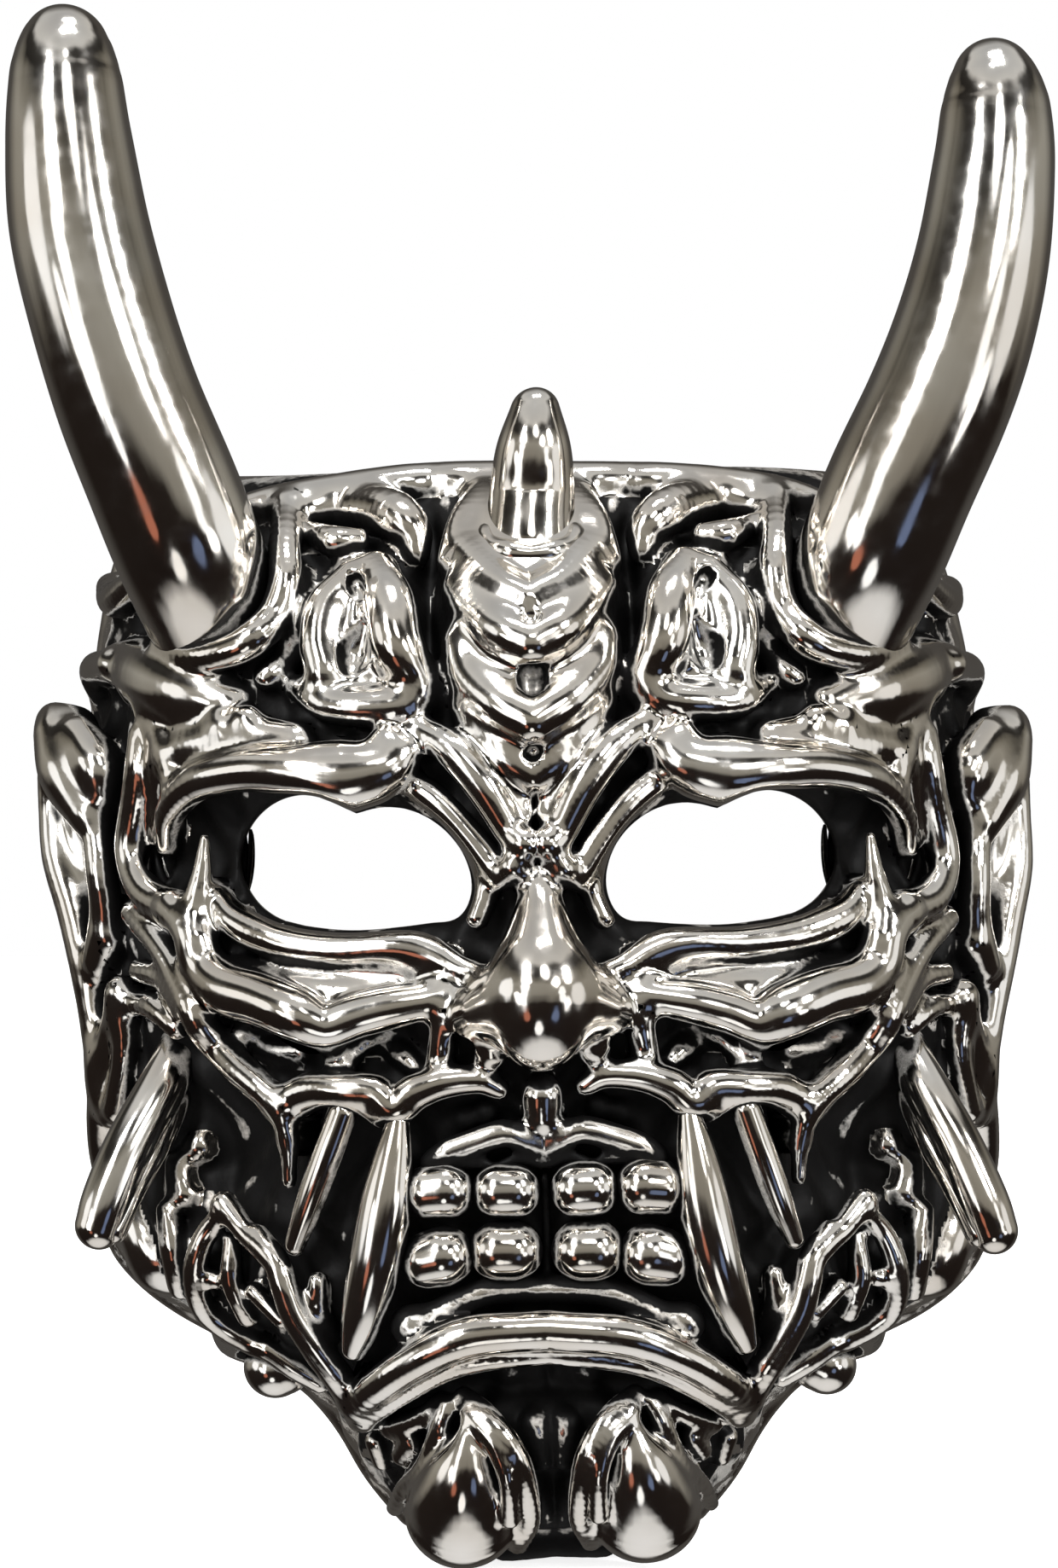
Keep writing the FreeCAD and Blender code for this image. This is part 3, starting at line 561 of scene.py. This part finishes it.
STROKES = gather_strokes()
OWNERS = list(dict.fromkeys(["face_shell"] + [stroke.owner for stroke in STROKES]))
STANDING = [Stroke(owner, line, STANDING_MELT) for owner, line in SET_STROKES.items()]
STANDING += [Stroke(owner, line, STANDING_MELT, free=True) for owner in FREE_STANDING
             for line in FREE_STROKES[owner]]
EYE_ROUTE = smooth_route(EYE_LINE)


def eye_distance(x, z):
    """Distance from the edge of the eye hole, below nought inside it."""
    points = np.stack([EYE_ROUTE[:, 0], np.zeros(len(EYE_ROUTE)), EYE_ROUTE[:, 1]], axis=-1)
    return chain_distance(x, np.zeros_like(x), z, points, EYE_ROUTE[:, 2])


def near(stroke, x, y, z):
    """Which points lie in the box round a stroke."""
    inside = (x > stroke.low[0]) & (x < stroke.high[0])
    inside &= (y > stroke.low[1]) & (y < stroke.high[1])
    inside &= (z > stroke.low[2]) & (z < stroke.high[2])
    return np.flatnonzero(inside)


def face_distance(x, y, z, owner=None, standing=False):
    """Distance from the whole sculpted face. Fills owner with the casting nearest to each point."""
    x = np.abs(x)
    outside = base_distance(x, y, z)
    relief = outside - LUMP_HEIGHT * lumps(x, y, z)
    nearest = outside.copy()
    for stroke in STROKES:
        here = near(stroke, x, y, z)
        if not len(here):
            continue
        gap = stroke.distance(x[here], y[here], z[here])
        if stroke.carve:
            relief[here] = smooth_max(relief[here], -gap, stroke.melt)
            continue
        relief[here] = smooth_min(relief[here], gap, stroke.melt)
        if owner is not None:
            closer = gap < nearest[here]
            owner[here[closer]] = OWNERS.index(stroke.owner)
            nearest[here] = np.minimum(nearest[here], gap)
    solid = smooth_max(relief, -(outside + WALL), 0.25)
    solid = smooth_max(solid, np.where(y < -EYE_CUT_DEPTH, -eye_distance(x, z), FAR_INSIDE), 0.35)
    solid = smooth_max(solid, y, 0.2)
    if standing:
        for stroke in STANDING:
            here = near(stroke, x, y, z)
            if len(here):
                solid[here] = np.minimum(solid[here], stroke.distance(x[here], y[here], z[here]))
    return solid


def face_mesh():
    """The whole face as quads: its corner points, and four corners for each face."""
    reach = np.array([HALF_WIDTH + 3.1, DEPTH + 4.3, HALF_HEIGHT + 0.6])
    counts = np.ceil(reach / VOXEL).astype(int)
    xs = np.arange(counts[0] + 1) * VOXEL
    ys = np.arange(-counts[1], 4) * VOXEL
    zs = np.arange(-counts[2], counts[2] + 1) * VOXEL
    half = np.empty((len(xs), len(ys), len(zs)), np.float32)
    slab = 16
    for start in range(0, len(zs), slab):
        levels = zs[start:start + slab]
        x, y, z = (axis.ravel().astype(np.float32) for axis in np.meshgrid(xs, ys, levels, indexing="ij"))
        half[:, :, start:start + slab] = face_distance(x, y, z).reshape(len(xs), len(ys), len(levels))
    field = np.concatenate([half[:0:-1], half]) / VOXEL
    grid = openvdb.FloatGrid(2.0)
    grid.copyFromArray(np.clip(field, -2, 2).astype(np.float32))
    points, quads = grid.convertToQuads(0.0)
    corner = np.array([-xs[-1], ys[0], zs[0]])
    points = points.astype(np.float64) * VOXEL + corner
    for _ in range(3):
        normal = numeric_slope(face_distance, *points.T)
        points -= (normal * np.clip(face_distance(*points.T), -VOXEL, VOXEL) * 0.8).T
    quads = quads.astype(np.int64)
    across, along = points[quads[:, 2]] - points[quads[:, 0]], points[quads[:, 3]] - points[quads[:, 1]]
    outward = numeric_slope(face_distance, *points[quads[:, 0]].T).T
    if (np.cross(across, along) * outward).sum() < 0:
        quads = quads[:, ::-1]
    return points, quads


def side_names(owner):
    """The castings that an owner stands for: its own name, or its left and right ones."""
    return [owner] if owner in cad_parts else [f"{owner}_left", f"{owner}_right"]


def face_labels(points, quads):
    """The casting that each face belongs to, as a number in the list of their names."""
    centres = points[quads].mean(axis=1)
    owner = np.zeros(len(quads), np.int64)
    face_distance(*centres.T, owner=owner)
    inner_wall = both_sides_distance(*centres.T) < -OUTER_SHARE * WALL
    owner[inner_wall] = 0
    names = [name for entry in OWNERS for name in side_names(entry)]
    labels = np.array([names.index(side_names(entry)[0]) for entry in OWNERS])[owner]
    paired = np.array([len(side_names(entry)) == 2 for entry in OWNERS])[owner]
    labels += paired & (centres[:, 0] > 0)
    edges = np.sort(quads[:, [0, 1, 1, 2, 2, 3, 3, 0]].reshape(-1, 2), axis=1)
    keys = edges[:, 0] * len(points) + edges[:, 1]
    order = np.argsort(keys, kind="stable")
    same = np.flatnonzero(np.diff(keys[order]) == 0)
    first, second = order[same] // 4, order[same + 1] // 4
    for _ in range(NEIGHBOUR_ROUNDS):
        votes = np.zeros((len(quads), len(names)), np.int8)
        np.add.at(votes, (first, labels[second]), 1)
        np.add.at(votes, (second, labels[first]), 1)
        winner = votes.argmax(axis=1)
        labels = np.where(votes.max(axis=1) >= 3, winner, labels)
    return names, labels


# Steps outward at which a point's room is felt, and the weight of each.
CREVICE_STEPS = ((0.3, 0.15), (0.7, 0.25), (1.4, 0.35), (2.6, 0.25))


def crevice_share(points, normals):
    """How shut in each point is, from nought in the open to one in a crevice."""
    total = np.zeros(len(points))
    for step, weight in CREVICE_STEPS:
        ahead = points + normals * step
        room = face_distance(*ahead.T, standing=True) / step
        total += weight * np.clip(1 - room, 0, 1)
    return np.clip(total, 0, 1)


def hand_made(points):
    """A slight, slow wandering of the form, with its top a little left and its chin a little right."""
    x, y, z = points.T
    moved = points.copy()
    lean = LEAN * np.tanh((z - LEAN_MIDDLE) / LEAN_REACH)
    moved[:, 0] += 0.06 * np.sin(0.31 * z + 0.7) + 0.04 * np.sin(0.73 * z + 0.4 * x) - lean
    moved[:, 2] += 0.09 * np.sin(0.27 * x + 0.5) + 0.05 * np.sin(0.61 * x + 0.5 * z + 1.3)
    return moved


def make_piece(name, points, faces, normals, crevice, material):
    """A closed mesh object that stands for the CAD casting of the same name."""
    mesh = bpy.data.meshes.new(name)
    mesh.from_pydata((hand_made(points) * MM).tolist(), [], faces)
    mesh.update()
    mesh.attributes.new("crevice", "FLOAT", "POINT").data.foreach_set("value", crevice.astype(np.float32))
    mesh.materials.append(material)
    for polygon in mesh.polygons:
        polygon.use_smooth = True
    mesh.normals_split_custom_set_from_vertices(normals.tolist())
    piece = bpy.data.objects.new(f"{name}_casting", mesh)
    bpy.context.scene.collection.objects.link(piece)
    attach(piece, "root")
    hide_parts(name)


def closed_patch(points, beneath, normals, crevice, quads, chosen):
    """Some faces of the surface, closed by a copy of them underneath that shares their border."""
    kept, corners = np.unique(quads[chosen], return_inverse=True)
    corners = corners.reshape(-1, 4)
    edge = np.zeros(len(points), bool)
    edge[quads[~chosen]] = True
    edge = edge[kept]
    inner = kept[~edge]
    copies = np.arange(len(kept))
    copies[~edge] = len(kept) + np.arange(len(inner))
    faces = np.vstack([corners, copies[corners][:, ::-1]])
    lone = edge[corners].all(axis=1)
    faces = faces[~np.concatenate([lone, lone])]
    piece_points = np.vstack([points[kept], beneath[inner]])
    piece_normals = np.vstack([normals[kept], -normals[inner]])
    piece_crevice = np.concatenate([crevice[kept], np.ones(len(inner))])
    return piece_points, faces.tolist(), piece_normals, piece_crevice


def cut_face(material_of):
    """Cuts the sculpted face into one closed piece for each casting."""
    points, quads = face_mesh()
    normals = numeric_slope(face_distance, *points.T).T
    crevice = crevice_share(points, normals)
    names, labels = face_labels(points, quads)
    outside = both_sides_distance(*points.T)
    base_normals = numeric_slope(both_sides_distance, *points.T).T
    used_by_shell = np.zeros(len(points), bool)
    used_by_shell[quads[labels == 0]] = True
    x, y, z = np.abs(points[:, 0]), points[:, 1], points[:, 2]
    facing_out = np.clip(1 + outside / (OUTER_SHARE * WALL), 0, 1) * np.clip((-y - 3) / 4, 0, 1)
    lump_tops = np.clip(lumps(x, y, z) * 2 - 0.7, 0, 1)
    left_black = (BLACKENED - LUMP_SHINE * lump_tops) * (1 - rubbed_share(x, z))
    crevice = np.where(used_by_shell, np.maximum(crevice * SHELL_SHADE, facing_out * left_black), crevice)
    under = points - base_normals * (outside + GROUND_UNDER_CASTINGS)[:, None]
    shell_points = np.where(used_by_shell[:, None], points, under)
    make_piece(names[0], shell_points, quads.tolist(), normals, crevice, material_of(names[0]))
    beneath = points - base_normals * np.maximum(outside + UNDERLAP, THINNEST)[:, None]
    for number, name in enumerate(names):
        if number and (labels == number).any():
            form = closed_patch(points, beneath, normals, crevice, quads, labels == number)
            make_piece(name, *form, material_of(name))


# ---- the castings that stand in the face -------------------------------------------------------
def round_cap(end, way, radius, radius_before, point_before):
    """Rings and tip of a ball end that meets a tapering bar without a crease."""
    taper = (radius_before - radius) / np.linalg.norm(end - point_before)
    start = math.atan(taper)
    ball = radius / math.cos(start)
    middle = end - way * ball * math.sin(start)
    turns = np.linspace(start, math.pi / 2, 14)[1:-1]
    rings = [(middle + way * ball * math.sin(turn), way, ball * math.cos(turn)) for turn in turns]
    return rings, middle + way * ball


def swept_bar(route, sides):
    """A round bar of changing thickness with round ends, along points of x, y, z and radius."""
    points, radii = route[:, :3], route[:, 3]
    ways = np.gradient(points, axis=0)
    ways /= np.linalg.norm(ways, axis=1)[:, None]
    start_cap, start_tip_point = round_cap(points[0], -ways[0], radii[0], radii[1], points[1])
    end_cap, end_tip_point = round_cap(points[-1], ways[-1], radii[-1], radii[-2], points[-2])
    rings = [(centre, -way, radius) for centre, way, radius in reversed(start_cap)]
    rings += list(zip(points, ways, radii))
    rings += end_cap
    side = np.cross(ways[0], (0.3, 0.9, 0.2))
    angles = np.arange(sides) * 2 * math.pi / sides
    corners = []
    for centre, way, radius in rings:
        side = side - way * (side @ way)
        side /= np.linalg.norm(side)
        other = np.cross(way, side)
        corners.append(centre + radius * (np.outer(np.cos(angles), side) + np.outer(np.sin(angles), other)))
    corners = np.vstack(corners + [start_tip_point, end_tip_point])
    around = np.arange(sides)
    ahead = (around + 1) % sides
    faces = []
    for level in range(len(rings) - 1):
        low, high = level * sides, (level + 1) * sides
        faces += np.stack([low + around, low + ahead, high + ahead, high + around], axis=-1).tolist()
    last = (len(rings) - 1) * sides
    start_tip, end_tip = len(corners) - 2, len(corners) - 1
    faces += [[start_tip, b, a] for a, b in zip(around.tolist(), ahead.tolist())]
    faces += [[end_tip, last + a, last + b] for a, b in zip(around.tolist(), ahead.tolist())]
    return corners, faces


def ring_bar(centre, axis, radius, thickness, lobes):
    """A ring with a round section, slightly beaded round its way."""
    axis = axis / np.linalg.norm(axis)
    side = np.cross(axis, (0, 1, 0))
    side /= np.linalg.norm(side)
    other = np.cross(axis, side)
    turns = np.arange(96) * 2 * math.pi / 96
    bends = np.arange(20) * 2 * math.pi / 20
    corners = []
    for turn in turns:
        out = math.cos(turn) * side + math.sin(turn) * other
        thick = thickness * (1 + 0.12 * math.cos(lobes * turn))
        for bend in bends:
            outward = out * (radius + thick * math.cos(bend))
            corners.append(centre + outward + axis * thick * math.sin(bend))
    faces = []
    for i in range(len(turns)):
        for j in range(len(bends)):
            after, beside = (i + 1) % len(turns), (j + 1) % len(bends)
            faces.append([i * len(bends) + j, after * len(bends) + j,
                          after * len(bends) + beside, i * len(bends) + beside])
    return np.array(corners), faces


def corner_normals(points, faces):
    """Outward directions at the corners of a closed mesh."""
    normals = np.zeros_like(points)
    for face in faces:
        a, b, c = points[face[0]], points[face[1]], points[face[2]]
        normal = np.cross(b - a, c - a)
        for corner in face:
            normals[corner] += normal
    return normals / np.maximum(np.linalg.norm(normals, axis=1), 1e-12)[:, None]


def add_casting(name, form, material):
    """Places a separate casting that was made as corner points and faces."""
    points, faces = form
    normals = corner_normals(points, faces)
    volume = sum(points[f[0]] @ np.cross(points[f[1]], points[f[2]]) for f in faces)
    if volume < 0:
        faces = [face[::-1] for face in faces]
        normals = -normals
    make_piece(name, points, faces, normals, STANDING_SHADE * crevice_share(points, normals), material)


def route_on_face(line):
    """A stroke's route as x, y, z and radius."""
    route = smooth_route(line, FINE_SPACING)
    return np.column_stack([on_face(np.maximum(route[:, 0], 0), route[:, 1], route[:, 3]), route[:, 2]])


def joined_forms(forms):
    """Several closed forms as one list of corners and one of faces."""
    corners, faces = [], []
    for points, own_faces in forms:
        first = sum(len(earlier) for earlier in corners)
        corners.append(points)
        faces += [[first + corner for corner in face] for face in own_faces]
    return np.vstack(corners), faces


def stretched_horn(route):
    """The left horn, which is a little longer and thicker."""
    root, length, stretch, thickening = 11, 18, 0.85, 0.06
    share = np.clip((route[:, 2] - root) / length, 0, 1)
    route = route.copy()
    route[:, 2] += stretch * share
    route[:, 3] *= 1 + thickening * share
    return route


def standing_castings(material_of):
    """Horns, tusks, fangs, teeth and posts, each a swept bar, and its left-hand twin."""
    routes = {owner: [route_on_face(line)] for owner, line in SET_STROKES.items()}
    for owner in FREE_STANDING:
        routes[owner] = [smooth_route(line, FINE_SPACING) for line in FREE_STROKES[owner]]
    for owner, bars in routes.items():
        sides = 72 if owner in ("horn", "tusk") else 40
        left_bars = [stretched_horn(bar) for bar in bars] if owner == "horn" else bars
        name = f"{owner}_right"
        add_casting(name, joined_forms([swept_bar(bar, sides) for bar in bars]), material_of(name))
        name = f"{owner}_left"
        left_forms = [swept_bar(bar * [-1, 1, 1, 1], sides) for bar in left_bars]
        add_casting(name, joined_forms(left_forms), material_of(name))


def middle_horn_castings(material_of):
    """The short horn over the crest, and the ring that it stands in."""
    foot, root = on_face(np.zeros(2), np.array([14.2, 15.8]), [0.4, 1.2])
    stations = [
        (*foot, 1.42),
        (*root, 1.3),
        (*(root + (0, -0.25, 1.5)), 1.12),
        (*(root + (0, -0.1, 2.8)), 0.72),
    ]
    add_casting("middle_horn", swept_bar(smooth_route(stations, 0.1), 64), material_of("middle_horn"))
    ring_centre = on_face(np.zeros(1), np.array([14.5]), [0.9])[0]
    form = ring_bar(ring_centre, np.array([0, -0.45, 0.85]), 1.3, 0.36, 6)
    add_casting("middle_horn_collar", form, material_of("middle_horn_collar"))


# ---- materials ---------------------------------------------------------------------------------
class Nodes:
    """Short ways to add and join shader nodes."""

    def __init__(self, tree):
        self.tree = tree
        tree.nodes.clear()

    def add(self, kind, **settings):
        node = self.tree.nodes.new(kind)
        for key, value in settings.items():
            setattr(node, key, value)
        return node

    def join(self, source, target):
        self.tree.links.new(source, target)

    def math(self, operation, first, second):
        node = self.add("ShaderNodeMath", operation=operation)
        for socket, value in zip(node.inputs, (first, second)):
            if isinstance(value, (int, float)):
                socket.default_value = value
            else:
                self.join(value, socket)
        return node.outputs[0]

    def ramp(self, value, low, high, to_low=0.0, to_high=1.0, kind="SMOOTHSTEP"):
        node = self.add("ShaderNodeMapRange", interpolation_type=kind)
        self.join(value, node.inputs["Value"])
        node.inputs["From Min"].default_value = low
        node.inputs["From Max"].default_value = high
        node.inputs["To Min"].default_value = to_low
        node.inputs["To Max"].default_value = to_high
        return node.outputs["Result"]

    def mix_colour(self, share, first, second):
        node = self.add("ShaderNodeMix", data_type="RGBA")
        self.join(share, node.inputs["Factor"])
        inputs = [socket for socket in node.inputs if socket.type == "RGBA"]
        for socket, value in zip(inputs, (first, second)):
            if isinstance(value, tuple):
                socket.default_value = (*value, 1)
            else:
                self.join(value, socket)
        return [socket for socket in node.outputs if socket.type == "RGBA"][0]

    def noise(self, vector, scale, detail, stretch=None):
        node = self.add("ShaderNodeTexNoise")
        node.inputs["Scale"].default_value = scale
        node.inputs["Detail"].default_value = detail
        if stretch:
            mapping = self.add("ShaderNodeMapping")
            mapping.inputs["Scale"].default_value = stretch
            self.join(vector, mapping.inputs["Vector"])
            vector = mapping.outputs["Vector"]
        self.join(vector, node.inputs["Vector"])
        return node.outputs["Fac"]


SILVER = (0.90, 0.875, 0.83)
WARM_SILVER = (0.80, 0.75, 0.68)
PATINA = (0.003, 0.0028, 0.0028)


def silver(name, patina_from, patina_to, shine):
    """Cast silver, polished on its high places, with black patina left in its crevices."""
    material = bpy.data.materials.new(name)
    material.use_nodes = True
    nodes = Nodes(material.node_tree)
    place = nodes.add("ShaderNodeTexCoord").outputs["Object"]
    crevice = nodes.add("ShaderNodeAttribute", attribute_name="crevice").outputs["Fac"]
    blotches = nodes.noise(place, 900, 4)
    grain = nodes.noise(place, 5200, 5)
    shaded = nodes.math("ADD", crevice, nodes.math("MULTIPLY", nodes.math("SUBTRACT", blotches, 0.5), 0.30))
    shaded = nodes.math("ADD", shaded, nodes.math("MULTIPLY", nodes.math("SUBTRACT", grain, 0.5), 0.16))
    patina = nodes.ramp(shaded, patina_from, patina_to)
    tone = nodes.mix_colour(nodes.ramp(nodes.noise(place, 260, 2), 0.35, 0.7), SILVER, WARM_SILVER)
    colour = nodes.mix_colour(patina, tone, PATINA)
    wear = nodes.noise(place, 1500, 4)
    rough = nodes.math("ADD", nodes.ramp(wear, 0.3, 0.75, shine, shine + 0.08),
                       nodes.math("MULTIPLY", patina, 0.36))
    metallic = nodes.math("SUBTRACT", 1.0, patina)
    dents = nodes.noise(place, 420, 2)
    scratches = nodes.noise(place, 9000, 2, stretch=(1.0, 0.2, 0.12))
    height = nodes.math("ADD", nodes.math("MULTIPLY", dents, 0.000012),
                        nodes.math("MULTIPLY", scratches, 0.0000016))
    height = nodes.math("ADD", height,
                        nodes.math("MULTIPLY", grain, nodes.math("MULTIPLY", patina, 0.00003)))
    bump = nodes.add("ShaderNodeBump")
    bump.inputs["Strength"].default_value = 0.4
    bump.inputs["Distance"].default_value = 1.0
    nodes.join(height, bump.inputs["Height"])
    shader = nodes.add("ShaderNodeBsdfPrincipled")
    nodes.join(colour, shader.inputs["Base Color"])
    nodes.join(rough, shader.inputs["Roughness"])
    nodes.join(metallic, shader.inputs["Metallic"])
    shader.inputs["Specular IOR Level"].default_value = 0.12
    nodes.join(bump.outputs["Normal"], shader.inputs["Normal"])
    output = nodes.add("ShaderNodeOutputMaterial")
    nodes.join(shader.outputs["BSDF"], output.inputs["Surface"])
    return material


# ---- light, stage and camera -------------------------------------------------------------------
# What the silver mirrors. The room in level bands, as the sine of the height and a colour:
ROOM_BANDS = [
    (-1.00, (0.80, 0.79, 0.79)),
    (-0.87, (0.70, 0.69, 0.68)),
    (-0.77, (0.012, 0.009, 0.008)),
    (-0.16, (0.016, 0.012, 0.010)),
    (-0.02, (0.24, 0.225, 0.195)),
    (0.28, (0.31, 0.295, 0.258)),
    (0.44, (0.17, 0.158, 0.132)),
    (0.54, (0.020, 0.018, 0.016)),
    (0.66, (0.030, 0.028, 0.025)),
    (0.74, (0.58, 0.57, 0.55)),
    (1.00, (0.42, 0.42, 0.42)),
]
# and soft-edged patches on it: the way to the middle of each, the cosines of its outer and inner
# edge, and its colour.
ROOM_PATCHES = [
    ((0.0, 1.0, 0.1), 0.35, 0.80, (0.07, 0.065, 0.06)),
    ((-1.0, -0.30, 0.15), 0.955, 0.975, (1.1, 1.1, 1.1)),
    ((1.0, -0.30, 0.05), 0.955, 0.975, (0.9, 0.9, 0.9)),
    ((-0.50, -0.75, 0.42), 0.985, 0.990, (4.0, 4.0, 4.0)),
    ((-0.56, -0.80, 0.18), 0.990, 0.994, (1.6, 1.6, 1.6)),
    ((-0.58, -0.80, 0.02), 0.990, 0.994, (1.6, 1.6, 1.6)),
    ((-0.60, -0.78, -0.14), 0.990, 0.994, (1.6, 1.6, 1.6)),
    ((0.45, -0.80, 0.36), 0.988, 0.993, (4.0, 4.0, 4.0)),
    ((0.64, -0.76, 0.12), 0.991, 0.995, (1.4, 1.4, 1.4)),
    ((0.66, -0.75, -0.04), 0.991, 0.995, (1.4, 1.4, 1.4)),
    ((0.10, -0.80, 0.62), 0.988, 0.993, (3.5, 3.5, 3.5)),
    ((-0.70, -0.60, -0.05), 0.990, 0.994, (2.0, 2.0, 2.0)),
    ((0.75, -0.60, -0.15), 0.990, 0.994, (2.0, 2.0, 2.0)),
    ((-0.10, -0.70, -0.65), 0.985, 0.992, (1.2, 1.2, 1.2)),
    ((-0.55, -0.80, -0.42), 0.990, 0.995, (0.45, 0.16, 0.10)),
    ((0.42, -0.85, -0.40), 0.990, 0.995, (0.14, 0.18, 0.30)),
]


def set_room():
    """A white surround to look at, and a patchy indoor room to be mirrored."""
    world = bpy.data.worlds.new("studio")
    bpy.context.scene.world = world
    world.use_nodes = True
    nodes = Nodes(world.node_tree)
    way = nodes.add("ShaderNodeTexCoord").outputs["Generated"]
    wobble = nodes.add("ShaderNodeTexNoise")
    wobble.inputs["Scale"].default_value = 2.2
    wobble.inputs["Detail"].default_value = 2.0
    nodes.join(way, wobble.inputs["Vector"])
    offset = nodes.add("ShaderNodeVectorMath", operation="MULTIPLY_ADD")
    nodes.join(wobble.outputs["Color"], offset.inputs[0])
    offset.inputs[1].default_value = (0.24, 0.24, 0.24)
    offset.inputs[2].default_value = (-0.12, -0.12, -0.12)
    bent = nodes.add("ShaderNodeVectorMath", operation="ADD")
    nodes.join(way, bent.inputs[0])
    nodes.join(offset.outputs[0], bent.inputs[1])
    bent_way = nodes.add("ShaderNodeVectorMath", operation="NORMALIZE")
    nodes.join(bent.outputs[0], bent_way.inputs[0])
    height = nodes.add("ShaderNodeSeparateXYZ")
    nodes.join(bent_way.outputs[0], height.inputs[0])
    bands = nodes.add("ShaderNodeValToRGB")
    nodes.join(nodes.ramp(height.outputs["Z"], -1, 1, kind="LINEAR"), bands.inputs["Fac"])
    stops = bands.color_ramp.elements
    while len(stops) < len(ROOM_BANDS):
        stops.new(1.0)
    for stop, (level, band_colour) in zip(stops, ROOM_BANDS):
        stop.position = (level + 1) / 2
        stop.color = (*band_colour, 1)
    colour = bands.outputs["Color"]
    for direction, outer, inner, patch_colour in ROOM_PATCHES:
        facing = nodes.add("ShaderNodeVectorMath", operation="DOT_PRODUCT")
        nodes.join(bent_way.outputs[0], facing.inputs[0])
        facing.inputs[1].default_value = Vector(direction).normalized()
        share = nodes.ramp(facing.outputs["Value"], outer, inner)
        colour = nodes.mix_colour(share, colour, patch_colour)
    mirrored = nodes.add("ShaderNodeBackground")
    nodes.join(colour, mirrored.inputs["Color"])
    seen = nodes.add("ShaderNodeBackground")
    seen.inputs["Color"].default_value = (1, 1, 1, 1)
    choice = nodes.add("ShaderNodeMixShader")
    nodes.join(nodes.add("ShaderNodeLightPath").outputs["Is Camera Ray"], choice.inputs["Fac"])
    nodes.join(mirrored.outputs[0], choice.inputs[1])
    nodes.join(seen.outputs[0], choice.inputs[2])
    output = nodes.add("ShaderNodeOutputWorld")
    nodes.join(choice.outputs[0], output.inputs["Surface"])


def set_lights():
    """Soft lights on both sides above, and one from above."""
    centre = Vector((0, -0.006, 0.004))
    for name, place, width, height, power in (
        ("left_softbox", (-0.15, -0.20, 0.17), 0.05, 0.08, 0.60),
        ("right_softbox", (0.20, -0.15, 0.13), 0.04, 0.08, 0.45),
        ("top_softbox", (0.02, -0.06, 0.26), 0.10, 0.04, 0.40),
    ):
        light = bpy.data.lights.new(name, "AREA")
        light.shape = "RECTANGLE"
        light.size = width
        light.size_y = height
        light.energy = power
        lamp = bpy.data.objects.new(name, light)
        lamp.location = place
        lamp.rotation_euler = (centre - Vector(place)).to_track_quat("-Z", "Y").to_euler()
        bpy.context.scene.collection.objects.link(lamp)


def set_stage():
    """A plain white floor under the chin."""
    reach = 0.8
    level = -0.01685
    mesh = bpy.data.meshes.new("white_floor")
    corners = [(x * reach, y * reach, level) for x, y in ((-1, -1), (1, -1), (1, 1), (-1, 1))]
    mesh.from_pydata(corners, [], [(0, 1, 2, 3)])
    material = bpy.data.materials.new("white_paper")
    material.use_nodes = True
    shader = material.node_tree.nodes["Principled BSDF"]
    shader.inputs["Base Color"].default_value = (0.9, 0.9, 0.9, 1)
    shader.inputs["Roughness"].default_value = 0.9
    shader.inputs["Emission Color"].default_value = (1, 1, 1, 1)
    shader.inputs["Emission Strength"].default_value = 0.85
    mesh.materials.append(material)
    floor = bpy.data.objects.new("white_floor", mesh)
    floor.visible_glossy = False
    bpy.context.scene.collection.objects.link(floor)


def set_camera():
    """Straight in front, a little above the face's middle, so that the horns fill the picture."""
    distance, picture_height, plane = 0.230, 0.0478, -0.009
    data = bpy.data.cameras.new("camera")
    data.sensor_width = 36
    data.lens = data.sensor_width * distance / picture_height
    data.clip_start = 0.01
    camera = bpy.data.objects.new("camera", data)
    camera.location = (-0.00039, plane - distance, 0.00705)
    camera.rotation_euler = (math.pi / 2, 0, 0)
    bpy.context.scene.collection.objects.link(camera)
    bpy.context.scene.camera = camera


# ---- the whole scene ---------------------------------------------------------------------------
polished = silver("polished_silver", 0.43, 0.66, 0.08)
oxidised = silver("oxidised_silver", 0.16, 0.34, 0.16)


def silver_of(name):
    """The material of a casting."""
    return oxidised if name in SLOTS else polished


cut_face(silver_of)
standing_castings(silver_of)
middle_horn_castings(silver_of)
set_room()
set_lights()
set_stage()
set_camera()
bpy.context.scene.view_settings.view_transform = "Standard"
